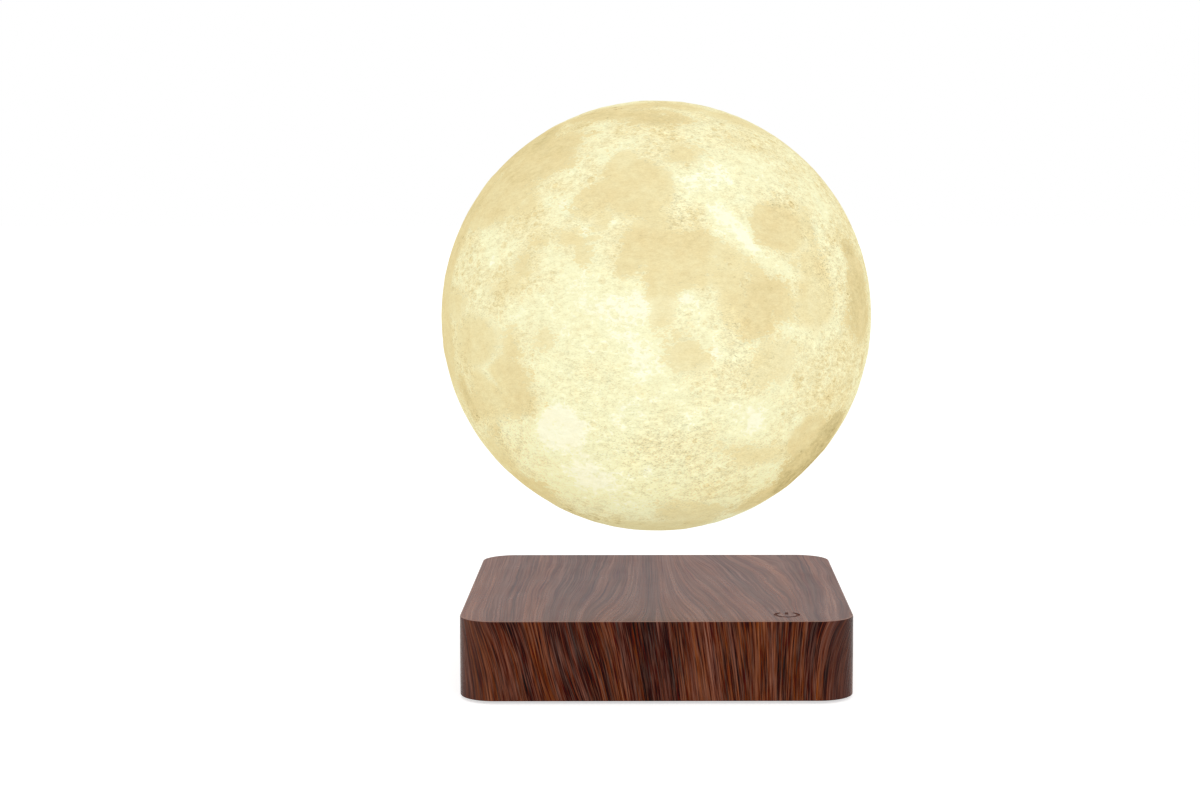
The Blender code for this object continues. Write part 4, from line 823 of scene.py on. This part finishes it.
def make_moon_plastic():
    """Translucent plastic, lit warm from inside, with the moon's seas and bright ground."""
    plain = {"IOR": 1.02, "Emission_Strength": 1.0}
    material, tree = new_material("moon_plastic", screen_colour(200, 198, 190), **plain)
    sockets = {
        "Vector": object_place(tree),
        "Location": globe_middle,
        "Rotation": moon_axes().to_euler("XYZ"),
        "Scale": (globe_radius,) * 3,
    }
    place = put(tree, "ShaderNodeMapping", sockets, vector_type="TEXTURE")["Vector"]
    flattened = vector_calc("MULTIPLY", place, (1.0, 1.0, 2.2))
    names = ("sea", "deep", "bright", "rough", "spots", "even")
    sea, deep, bright, rough, spots, even_shore = (
        put(tree, "ShaderNodeAttribute", attribute_name=name)["Fac"] for name in names
    )
    drift = waves(place, 3.0)
    mottle = waves(place, 8.0, 6.0, 0.62)
    fleck = waves(flattened, 26.0, 5.0, 0.72)
    grit = waves(flattened, 95.0, 3.0, 0.7)

    shore = (mottle * 1.3 + fleck * 1.7) * (1.0 - even_shore * 0.65) + sea
    in_sea = spread(shore, -0.06, 0.06)
    lit = calc("MINIMUM", bright, 1.6)
    craters = pocks(place, 18.0) * 0.12 + pocks(place, 41.0) * 0.10
    ground = lit * 0.42 + mottle * 0.80 + fleck * 0.90 + drift * 0.30 + craters + GROUND_TONE
    water = mottle * 0.34 + fleck * 0.30 - deep * SEA_TONE_LOSS + SEA_TONE
    tone = calc("ADD", mixed(in_sea, ground, water), spots, clamp=True)

    even = calc("MAXIMUM", in_sea * 0.65, lit * 0.48)
    specks = spread(clouds(flattened, 60.0, 3.0, 0.6), 0.58, 0.68)
    grain = fleck * 0.55 + grit * 0.85 - specks * rough * 0.14
    shade = grain * (rough * 0.6 + 1.0 - even) + 1.0

    printed = vector_calc("MULTIPLY", ramp(tone, [*MOON_TONES, (1.0, RAY_TONE)]), shade)
    printed = tinted(printed, waves(place, 13.0, 3.0, 0.6), PATCH_TINT)
    high, low = (globe_middle.z - share * globe_radius for share in FOOT_REACH)
    foot = spread(split(object_place(tree))["Z"], low, high, 1.0, 0.0)
    printed = tinted(printed, foot, FOOT_TINT)
    glowing = tree.nodes["Principled BSDF"].inputs["Emission Color"]
    fill(glowing, vector_calc("MULTIPLY", printed, GLOW_SHARE))
    plastic = vector_calc("MULTIPLY", printed, PLASTIC_SHARE)
    return dress(material, plastic, handled(tree, 0.72, 0.04), fleck * 2.0 + mottle, depth=0.00012)


# Screen colour, roughness, grains per metre, relief in metres and share of the pale patches
PLASTICS = {
    "black_plastic": ((38, 38, 40), 0.52, 2600.0, 0.00003, 0.12),
    "grey_silicone": ((112, 112, 114), 0.78, 1700.0, 0.00002, 0.12),
    "chip_black": ((34, 34, 36), 0.42, 3600.0, 0.00002, 0.3),
    "nylon_white": ((226, 224, 216), 0.48, 1500.0, 0.00002, 0.3),
    "frosted_plastic": ((242, 242, 238), 0.55, 900.0, 0.00002, 0.12),
}
# Screen colour, roughness, relief of the lines in metres and share of the stains
METALS = {
    "zinc_steel": ((206, 205, 200), 0.3, 0.00001, 0.25),
    "core_steel": ((150, 150, 152), 0.38, 0.00002, 0.5),
    "nickel": ((222, 219, 212), 0.18, 0.000004, 0.15),
    "can_aluminium": ((214, 215, 218), 0.33, 0.00001, 0.2),
}
# Screen colour of the lens, and its glow
DIODES = {
    "led_white": ((250, 244, 196), (0.85, 0.85, 0.75, 1)),
    "led_amber": ((250, 214, 120), (0.9, 0.6, 0.2, 1)),
}

engraved_walnut = make_engraved_walnut()
finishes = {
    "walnut_casing": make_walnut(),
    "moon_plastic": make_moon_plastic(),
    "board_green": make_board(),
    "ferrite": make_ferrite(),
    "copper_wire": make_copper(),
}
for make, table in ((make_plastic, PLASTICS), (make_metal, METALS), (make_diode, DIODES)):
    finishes.update({slot: make(slot, *numbers) for slot, numbers in table.items()})


# Mesh helpers


def to_mesh(shape):
    """Turns a bmesh into a mesh whose faces point outwards."""
    bmesh.ops.remove_doubles(shape, verts=shape.verts, dist=TINY)
    bmesh.ops.recalc_face_normals(shape, faces=shape.faces)
    mesh = bpy.data.meshes.new("shape")
    shape.to_mesh(mesh)
    shape.free()
    return mesh


def round_edges(shape, edges, width, steps=EDGE_STEPS):
    """Rounds these edges with a circular bevel."""
    settings = {"profile": 0.5, "affect": "EDGES", "material": -1}
    bmesh.ops.bevel(shape, geom=edges, offset=width, segments=steps, **settings)


def ease_rim(shape, height, width):
    """Rounds the edges that lie at this height."""
    rim = [edge for edge in shape.edges if all(abs(v.co.z - height) < TINY for v in edge.verts)]
    round_edges(shape, rim, width)


def block(low, high):
    """A plain block between two corners, as a bmesh."""
    low, high = Vector(low), Vector(high)
    shape = bmesh.new()
    bmesh.ops.create_cube(shape, size=1)
    bmesh.ops.scale(shape, vec=high - low, verts=shape.verts)
    bmesh.ops.translate(shape, vec=(low + high) / 2, verts=shape.verts)
    return shape


def rounded_plate(half, corner, low, high, top_edge=0.0, bottom_edge=0.0):
    """A square plate with round corners, its top and bottom edges eased."""
    shape = block((-half, -half, low), (half, half, high))
    upright = [e for e in shape.edges if abs(e.verts[0].co.z - e.verts[1].co.z) > TINY]
    round_edges(shape, upright, corner, CORNER_STEPS)
    for height, width in ((high, top_edge), (low, bottom_edge)):
        if width > 0:
            ease_rim(shape, height, width)
    return to_mesh(shape)


def rod_shape(radius, low, high, top_radius=None):
    """An upright rod or cone, as a bmesh."""
    shape = bmesh.new()
    sizes = {"radius1": radius, "radius2": top_radius or radius, "depth": high - low}
    bmesh.ops.create_cone(shape, cap_ends=True, segments=ROUND_STEPS, **sizes)
    bmesh.ops.translate(shape, vec=(0, 0, (low + high) / 2), verts=shape.verts)
    return shape


def rod(radius, low, high, x=0.0, y=0.0):
    """An upright rod at this place."""
    shape = rod_shape(radius, low, high)
    bmesh.ops.translate(shape, vec=(x, y, 0), verts=shape.verts)
    return to_mesh(shape)


def facing_back(mesh, y, z):
    """Turns an upright mesh to point along +Y, from this point."""
    mesh.transform(Matrix.Translation((0, y, z)) @ Matrix.Rotation(-math.pi / 2, 4, "X"))
    return mesh


def modified(mesh, *steps):
    """The mesh after these modifiers, each a kind and its settings."""
    holder = bpy.data.objects.new("holder", mesh)
    bpy.context.collection.objects.link(holder)
    for kind, settings in steps:
        step = holder.modifiers.new("step", kind)
        for name, value in settings.items():
            setattr(step, name, value)
    evaluated = holder.evaluated_get(bpy.context.evaluated_depsgraph_get())
    result = bpy.data.meshes.new_from_object(evaluated)
    bpy.data.objects.remove(holder, do_unlink=True)
    return result


def combined(body, tools, operation):
    """Joins the tool meshes to the body, or cuts them from it."""
    helpers = [bpy.data.objects.new("tool", tool) for tool in tools]
    for helper in helpers:
        bpy.context.collection.objects.link(helper)
    settings = {"operation": operation, "solver": "EXACT", "material_mode": "TRANSFER"}
    result = modified(body, *(("BOOLEAN", {**settings, "object": helper}) for helper in helpers))
    for helper in helpers:
        bpy.data.objects.remove(helper, do_unlink=True)
    return result


def finished(name, mesh, body, slot, nodes, smooth_degrees=32):
    """Makes a piece of this mesh, which rides on the body and stands for the CAD nodes."""
    if not any(mesh.materials):
        mesh.materials.clear()
        mesh.materials.append(finishes[slot])
    mesh.shade_smooth()
    mesh.set_sharp_from_angle(angle=math.radians(smooth_degrees))
    if len(mesh.polygons) < DENSE_MESH:
        # Keeps large flat faces flat, so that the shading bends only on the eased edges
        mesh = modified(mesh, ("WEIGHTED_NORMAL", {"keep_sharp": True}))
    piece = bpy.data.objects.new(name, mesh)
    bpy.context.collection.objects.link(piece)
    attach(piece, body)
    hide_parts(*nodes)


def node_corners(prefix):
    """Each corner's name with its node's middle, radius and heights."""
    for corner in ("front_left", "front_right", "back_left", "back_right"):
        low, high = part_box(f"{prefix}_{corner}")
        middle = (low + high) / 2
        yield corner, middle.x, middle.y, (high.x - low.x) / 2, low.z, high.z


# Pieces of the base


def touch_mark_tools():
    """Cutters for the open ring and the bar of the touch mark."""
    low = casing_top - MARK_DEPTH
    high = casing_top + OVERRUN
    half_line = MARK_LINE / 2
    half_open = math.radians(MARK_OPEN_DEGREES) / 2
    inner, outer = MARK_RADIUS - half_line, MARK_RADIUS + half_line
    corners = [(inner, low), (outer, low), (outer, high), (inner, high)]
    shape = bmesh.new()
    face = shape.faces.new([shape.verts.new((r, 0, z)) for r, z in corners])
    start = Matrix.Rotation(math.pi / 2 + half_open, 3, "Z")
    bmesh.ops.rotate(shape, cent=(0, 0, 0), matrix=start, verts=shape.verts)
    turn = {"axis": (0, 0, 1), "angle": math.tau - 2 * half_open, "steps": MARK_STEPS}
    bmesh.ops.spin(shape, geom=[face], cent=(0, 0, 0), **turn)
    bar = block((-half_line, MARK_RADIUS - MARK_BAR, low), (half_line, MARK_RADIUS, high))
    tools = [to_mesh(shape), to_mesh(bar)]
    for tool in tools:
        tool.transform(Matrix.Translation((*MARK_PLACE, 0)))
        tool.materials.append(engraved_walnut)
    return tools


def across_wall(x, y):
    """Distance round the four walls from the middle of the front, clockwise from above negative."""
    side = -1 if x < 0 else 1
    x = abs(x)
    if y < -straight_half and x <= straight_half:
        return side * x
    if y < -straight_half:
        return side * (straight_half + CORNER_RADIUS * math.atan2(x - straight_half, -y - straight_half))
    if x > straight_half and y <= straight_half:
        return side * (straight_half + corner_run + y + straight_half)
    turn = math.atan2(y - straight_half, x - straight_half)
    return side * (3 * straight_half + corner_run + CORNER_RADIUS * turn)


def lay_grain(mesh):
    """Gives every face corner its place across and along the grain, and 1 on the eased top edge, which
    gets a painted highlight.
    """
    grain = mesh.attributes.new("grain", "FLOAT_VECTOR", "CORNER")
    for face in mesh.polygons:
        level = abs(face.normal.z) > LEVEL_SLOPE
        edge_highlight = 1.0 if EASED_SLOPE < face.normal.z < FLAT_SLOPE else 0.0
        back = face.center.y > straight_half and abs(face.center.x) < straight_half
        for index in face.loop_indices:
            x, y, z = mesh.vertices[mesh.loops[index].vertex_index].co
            if level:
                across, along = x, casing_height + y + base_half
            elif back:
                across, along = 4 * straight_half + 2 * corner_run - x, z - casing_bottom
            else:
                across, along = across_wall(x, y), z - casing_bottom
            grain.data[index].vector = (across, along, edge_highlight)


def make_casing():
    """The walnut casing: an open box with eased edges, bosses, socket and touch mark."""
    outer = rounded_plate(base_half, CORNER_RADIUS, casing_bottom, casing_top, TOP_EDGE, BOTTOM_EDGE)
    outer.materials.append(finishes["walnut_casing"])
    ceiling = casing_top - TOP_THICKNESS
    inner = (base_half - BASE_WALL, CORNER_RADIUS - BASE_WALL, casing_bottom - OVERRUN, ceiling)
    shell = combined(outer, [rounded_plate(*inner)], "DIFFERENCE")
    boss_low = cover_low.z + COVER_SEAT_DEPTH * 2
    bosses = []
    holes = []
    for _, x, y, _, _, high in node_corners("cover_screw"):
        bosses.append(rod(BOSS_RADIUS, boss_low, ceiling + TOP_EDGE, x, y))
        holes.append(rod(SCREW_SHANK_RADIUS + FIT_GAP, casing_bottom, high + FIT_GAP, x, y))
    shell = combined(shell, bosses, "UNION")
    socket = rod(SOCKET_RADIUS, -BASE_WALL - OVERRUN, OVERRUN)
    socket = facing_back(socket, base_half, jack_height)
    cut = combined(shell, holes + [socket] + touch_mark_tools(), "DIFFERENCE")
    lay_grain(cut)
    finished("walnut_shell", cut, "base", "walnut_casing", ["base_shell"])


def make_cover():
    """The plastic cover under the base, with seats for its feet and screws."""
    half = cover_high.x
    corner = CORNER_RADIUS - base_half + half
    plate = rounded_plate(half, corner, cover_low.z, cover_high.z, 0.0, BOTTOM_EDGE)
    under = cover_low.z - OVERRUN
    hole = SCREW_SHANK_RADIUS + FIT_GAP
    seats = []
    for _, x, y, radius, _, high in node_corners("foot"):
        seats.append(rod(radius + FIT_GAP, under, high + FIT_GAP, x, y))
    for _, x, y, radius, low, _ in node_corners("cover_screw"):
        head_top = low + SCREW_HEAD_HEIGHT
        seats.append(rod(radius + FIT_GAP, under, head_top + FIT_GAP, x, y))
        seats.append(rod(hole, head_top, cover_high.z + OVERRUN, x, y))
    mesh = combined(plate, seats, "DIFFERENCE")
    finished("underside_cover", mesh, "base", "black_plastic", ["bottom_cover"])


def make_foot(corner, x, y, radius, low, high):
    """A silicone foot with a soft rim and a shallow dimple."""
    shape = rod_shape(radius, low, high)
    ease_rim(shape, low, FOOT_EDGE)
    under = [face for face in shape.faces if face.normal.z < -FLAT_SLOPE]
    bmesh.ops.inset_region(shape, faces=under, thickness=FOOT_DIMPLE_INSET)
    bmesh.ops.inset_region(shape, faces=under, thickness=FOOT_EDGE, depth=-FOOT_DIMPLE_DEPTH)
    bmesh.ops.translate(shape, vec=(x, y, 0), verts=shape.verts)
    finished(f"silicone_foot_{corner}", to_mesh(shape), "base", "grey_silicone", [f"foot_{corner}"])


def make_screw(corner, x, y, radius, low, high):
    """A cross-head screw that closes the cover, head down."""
    head = rod_shape(radius, low, low + SCREW_HEAD_HEIGHT)
    ease_rim(head, low, SCREW_HEAD_EDGE)
    shank = rod(SCREW_SHANK_RADIUS, low + SCREW_HEAD_HEIGHT / 2, high)
    mesh = combined(to_mesh(head), [shank], "UNION")
    half_long, half_wide = SCREW_CROSS_LENGTH / 2, SCREW_CROSS_WIDTH / 2
    start, end = low - OVERRUN, low + SCREW_CROSS_DEPTH
    bars = []
    for half_x, half_y in ((half_long, half_wide), (half_wide, half_long)):
        bars.append(to_mesh(block((-half_x, -half_y, start), (half_x, half_y, end))))
    mesh = combined(mesh, bars, "DIFFERENCE")
    mesh.transform(Matrix.Translation((x, y, 0)))
    finished(f"closing_screw_{corner}", mesh, "base", "zinc_steel", [f"cover_screw_{corner}"])


def make_jack():
    """The power jack in the back, its mouth eased, and the pin inside it."""
    shape = block(jack_low, jack_high)
    round_edges(shape, shape.edges[:], JACK_EDGE)
    bore = rod(JACK_BORE_RADIUS, -JACK_BORE_DEPTH, OVERRUN)
    wide = JACK_BORE_RADIUS + 2 * JACK_MOUTH
    mouth = to_mesh(rod_shape(JACK_BORE_RADIUS, -JACK_MOUTH, JACK_MOUTH, wide))
    cutters = [facing_back(cutter, jack_high.y, jack_height) for cutter in (bore, mouth)]
    mesh = combined(to_mesh(shape), cutters, "DIFFERENCE")
    finished("power_inlet", mesh, "base", "black_plastic", ["power_jack"])

    length = pin_high.y - pin_low.y
    shape = rod_shape((pin_high.x - pin_low.x) / 2, 0, length)
    ease_rim(shape, length, PIN_TIP)
    pin = facing_back(to_mesh(shape), pin_low.y, jack_height)
    finished("inlet_pin", pin, "base", "nickel", ["jack_pin"])


# Globe


def moon_direction(north, east):
    """Unit vector on the moon's own axes, longitude zero to the front."""
    latitude, longitude = math.radians(north), math.radians(east)
    flat = math.cos(latitude)
    return np.array((flat * math.sin(longitude), -flat * math.cos(longitude), math.sin(latitude)))


def soft_step(low, high, values):
    """Rises smoothly from 0 at low to 1 at high."""
    share = np.clip((values - low) / (high - low), 0, 1)
    return share * share * (3 - 2 * share)


def bell(values):
    """1 at zero, and soon nothing on either side."""
    return np.exp(-(values**2))


def sea_fields(places):
    """How far each place lies inside its nearest sea, in steps of ten degrees, and its darkness."""
    fields = []
    for north, east, half_width, half_height, tilt, _ in SEAS:
        middle = moon_direction(north, east)
        eastward = np.array((math.cos(math.radians(east)), math.sin(math.radians(east)), 0))
        northward = np.cross(middle, eastward)
        lean = math.radians(tilt)
        across = places @ (eastward * math.cos(lean) + northward * math.sin(lean))
        along = places @ (northward * math.cos(lean) - eastward * math.sin(lean))
        wide, high = math.radians(half_width), math.radians(half_height)
        inside = (1 - np.hypot(across / wide, along / high)) * min(wide, high) / math.radians(10)
        fields.append(np.where(places @ middle > 0, inside, FAR_OUTSIDE))
    fields = np.array(fields)
    darkness = np.array([sea[-1] for sea in SEAS])[:, None]
    weights = np.exp(NEAREST_SEA * (fields - fields.max(axis=0)))
    return fields.max(axis=0), (weights * darkness).sum(axis=0) / weights.sum(axis=0)


def ground_field(places, table):
    """Sum of soft round patches."""
    total = np.zeros(len(places))
    for north, east, radius, strength in table:
        angle = np.arccos(np.clip(places @ moon_direction(north, east), -1, 1))
        total += strength * bell(angle / math.radians(radius))
    return total


def crater_fields(places, sea):
    """Height of the craters over the surface, in metres, and the brightness of their rims."""
    dice = np.random.default_rng(CRATER_SEED)
    height = np.zeros(len(places))
    bright = np.zeros(len(places))
    middles = dice.normal(size=(CRATER_COUNT, 3))
    middles /= np.linalg.norm(middles, axis=1)[:, None]
    draws = dice.power(CRATER_SIZE_POWER, CRATER_COUNT) ** -CRATER_SIZE_SPREAD
    radii = np.radians(SMALLEST_CRATER_DEGREES * draws).clip(0, math.radians(LARGEST_CRATER_DEGREES))
    fresh = dice.random(CRATER_COUNT) < FRESH_CRATER_COUNT / CRATER_COUNT
    shown = 1 - FILLED_BY_SEA * soft_step(-0.1, 0.2, sea)
    for middle, radius, is_fresh in zip(middles, radii, fresh):
        reach = RAY_REACH if is_fresh else RIM_REACH
        near = np.flatnonzero(places @ middle > math.cos(min(radius * reach, 1)))
        distance = np.arccos(np.clip(places[near] @ middle, -1, 1)) / radius
        floor = 1 - soft_step(*FLOOR_EDGE, distance)
        rim = bell((distance - 1) / RIM_WIDTH)
        depth = CRATER_DEPTH * radius * globe_radius
        height[near] += shown[near] * depth * (RIM_HEIGHT * rim - floor)
        mark = CRATER_MARK * math.sqrt(math.radians(1) / radius)
        bright[near] += shown[near] * mark * (rim - floor)
        if is_fresh:
            for strength, width in FRESH_GLOW:
                bright[near] += shown[near] * strength * bell(distance / width)
    return height, bright


def make_ball():
    """An even ball of square cells, with its relief and the numbers that its print needs."""
    shape = bmesh.new()
    bmesh.ops.create_cube(shape, size=2)
    bmesh.ops.subdivide_edges(shape, edges=shape.edges, cuts=GLOBE_CELLS - 1, use_grid_fill=True)
    mesh = bpy.data.meshes.new("ball")
    shape.to_mesh(mesh)
    shape.free()
    places = np.empty(len(mesh.vertices) * 3, np.float32)
    mesh.vertices.foreach_get("co", places)
    places = np.tan(places.reshape(-1, 3).astype(float) * math.pi / 4)
    places /= np.linalg.norm(places, axis=1)[:, None]
    own = places @ np.array(moon_axes())

    noise.seed_set(SHORE_SEED)
    points = [Vector(place) for place in own]
    bends = np.array([noise.noise_vector(point * BEND_SCALE) for point in points])
    ripples = np.array([noise.noise_vector(point * RIPPLE_SCALE + RIPPLE_START) for point in points])
    hills = np.array([noise.fractal(point * HILL_SCALE, *HILL_LAYERS) for point in points])
    even = np.minimum(ground_field(own, EVEN_SHORES), 1)
    bent = own + (bends * BEND_SIZE + ripples * RIPPLE_SIZE) * (1 - 0.7 * even)[:, None]
    bent /= np.linalg.norm(bent, axis=1)[:, None]
    sea, deep = sea_fields(bent)
    craters, spots = crater_fields(own, sea)

    opening = math.asin(OPENING_RADIUS / globe_radius)
    off_opening = abs(np.arccos(-places[:, 2]) - opening)
    fade = soft_step(0, math.radians(RELIEF_FADE_DEGREES), off_opening)
    land = 1 - soft_step(-0.1, 0.15, sea)
    height = craters - SEA_DEPTH * (1 - land) + HIGHLAND_RELIEF * (np.clip(hills, -1, 1) - 0.3) * land
    level = np.minimum(globe_radius - SURFACE_MARGIN + height * fade, globe_radius)
    mesh.vertices.foreach_set("co", (places * level[:, None] + np.array(globe_middle)).ravel())
    fields = {
        "sea": sea,
        "deep": deep,
        "bright": ground_field(bent, BRIGHT_GROUND),
        "rough": ground_field(bent, ROUGH_GROUND),
        "spots": spots,
        "even": even,
    }
    for name, values in fields.items():
        mesh.attributes.new(name, "FLOAT", "POINT").data.foreach_set("value", values.astype(np.float32))
    return mesh


def add_rings(shape, rings):
    """Runs the open rim on through rings of (radius, height), and closes it at radius zero."""
    rim = [edge for edge in shape.edges if edge.is_boundary]
    for radius, height in rings:
        grown = bmesh.ops.extrude_edge_only(shape, edges=rim)["geom"]
        points = {item for item in grown if isinstance(item, bmesh.types.BMVert)}
        edges = [item for item in grown if isinstance(item, bmesh.types.BMEdge)]
        rim = [edge for edge in edges if set(edge.verts) <= points]
        if radius == 0:
            bmesh.ops.pointmerge(shape, verts=list(points), merge_co=(0, 0, height))
            return
        for point in points:
            flat = point.co.xy.normalized() * radius
            point.co = (flat.x, flat.y, height)


def lower_height(radius, distance):
    """Height of the lower half of a ball about the globe's middle, at this distance from its axis."""
    return globe_middle.z - math.sqrt(radius * radius - distance * distance)


def make_globe():
    """The moon and the cap that closes it from below, with their walls."""
    ball = make_ball()
    skin_radius = globe_radius - SURFACE_MARGIN
    seam = lower_height(skin_radius, OPENING_RADIUS)
    inner = globe_radius - GLOBE_WALL
    ledge_low = seam + LEDGE_LOW
    ledge_high = ledge_low + LEDGE_THICKNESS
    shell_rings = [(OPENING_RADIUS, ledge_low), (LEDGE_RADIUS, ledge_low), (LEDGE_RADIUS, ledge_high)]
    start = math.acos((globe_middle.z - ledge_high) / inner)
    for step in range(INNER_RINGS + 1):
        angle = start + (math.pi - start) * step / INNER_RINGS
        radius = 0 if step == INNER_RINGS else inner * math.sin(angle)
        shell_rings.append((radius, globe_middle.z - inner * math.cos(angle)))
    cap_radius = OPENING_RADIUS - SEAM_GAP
    cap_top = ledge_low - FIT_GAP
    cap_inner = skin_radius - CAP_WALL
    cap_rings = [(cap_radius, cap_top), (CAP_RIM_INNER, cap_top)]
    cap_rings += [(r, lower_height(cap_inner, r)) for r in (CAP_RIM_INNER, CAP_FLOOR_RADIUS)]
    cap_rings.append((0, lower_height(cap_inner, CAP_FLOOR_RADIUS)))

    for name, node, plane, keeps_above, rings in (
        ("moon_globe", "moon_shell", seam, True, shell_rings),
        ("moon_cap", "globe_cap", lower_height(skin_radius, cap_radius), False, cap_rings),
    ):
        shape = bmesh.new()
        shape.from_mesh(ball)
        bmesh.ops.bisect_plane(
            shape,
            geom=shape.verts[:] + shape.edges[:] + shape.faces[:],
            plane_co=(0, 0, plane),
            plane_no=(0, 0, 1),
            clear_inner=keeps_above,
            clear_outer=not keeps_above,
        )
        add_rings(shape, rings)
        finished(name, to_mesh(shape), "globe", "moon_plastic", [node], 40)
    bpy.data.meshes.remove(ball)


# Camera, floor and light


def add_object(name, data, place=(0, 0, 0)):
    """Puts an object with this data in the scene."""
    thing = bpy.data.objects.new(name, data)
    thing.location = place
    bpy.context.collection.objects.link(thing)
    return thing


def add_camera():
    """A long lens a little above the globe's middle, as in the photograph."""
    data = bpy.data.cameras.new("camera")
    data.lens = LENS_MM
    data.sensor_width = SENSOR_MM
    data.shift_x = SHIFT_X
    data.clip_start = 0.01
    camera = add_object("camera", data, CAMERA_PLACE)
    camera.rotation_euler = (math.radians(CAMERA_PITCH_DEGREES), 0, math.radians(CAMERA_YAW_DEGREES))
    bpy.context.scene.camera = camera


def seen_ray(tree):
    """1 for rays that show the surround itself: from the camera, in gloss and through glass."""
    path = put(tree, "ShaderNodeLightPath")
    direct = calc("MAXIMUM", path["Is Camera Ray"], path["Is Glossy Ray"])
    return calc("MAXIMUM", direct, path["Is Transmission Ray"])


def add_floor():
    """A pale floor that keeps the lamp's soft shadow."""
    shape = bmesh.new()
    bmesh.ops.create_grid(shape, x_segments=1, y_segments=1, size=FLOOR_HALF)
    floor = add_object("floor", to_mesh(shape))
    plain = {"Roughness": 0.9, "Specular_IOR_Level": 0.0, "Emission_Strength": 1.0}
    material, tree = new_material("floor", screen_colour(*FLOOR_COLOUR), **plain)
    glowing = tree.nodes["Principled BSDF"].inputs["Emission Color"]
    fill(glowing, mixed_colour(seen_ray(tree) * FLOOR_SEEN_GLOW, (0, 0, 0, 1), (1, 1, 1, 1)))
    floor.data.materials.append(material)


def add_light():
    """An even white surround, and one large soft lamp in front, above and to the right."""
    world = bpy.data.worlds.new("surround")
    bpy.context.scene.world = world
    world.use_nodes = True
    tree = world.node_tree
    sockets = tree.nodes["Background"].inputs
    fill(sockets["Color"], (1, 1, 1, 1))
    fill(sockets["Strength"], mixed(seen_ray(tree), SURROUND_ON_OBJECT, SURROUND_SEEN))
    place = Vector(LAMP_PLACE)
    data = bpy.data.lights.new("soft_lamp", "AREA")
    data.shape = "SQUARE"
    data.size = LAMP_SIZE
    data.energy = LAMP_LEVEL * math.pi**2 * (place - globe_middle).length_squared
    lamp = add_object("soft_lamp", data, place)
    lamp.rotation_mode = "QUATERNION"
    lamp.rotation_quaternion = (globe_middle - place).to_track_quat("-Z", "Y")
    bpy.context.scene.view_settings.view_transform = "Standard"


def finish_cad_nodes():
    """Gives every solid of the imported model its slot's finish."""
    for subpart in record["subparts"]:
        mesh = frame["nodes"][subpart["node"]].data
        mesh.materials.clear()
        mesh.materials.append(finishes[subpart["material_slot"]])


add_camera()
add_light()
add_floor()
finish_cad_nodes()
make_casing()
make_cover()
for foot in node_corners("foot"):
    make_foot(*foot)
for screw in node_corners("cover_screw"):
    make_screw(*screw)
make_jack()
make_globe()
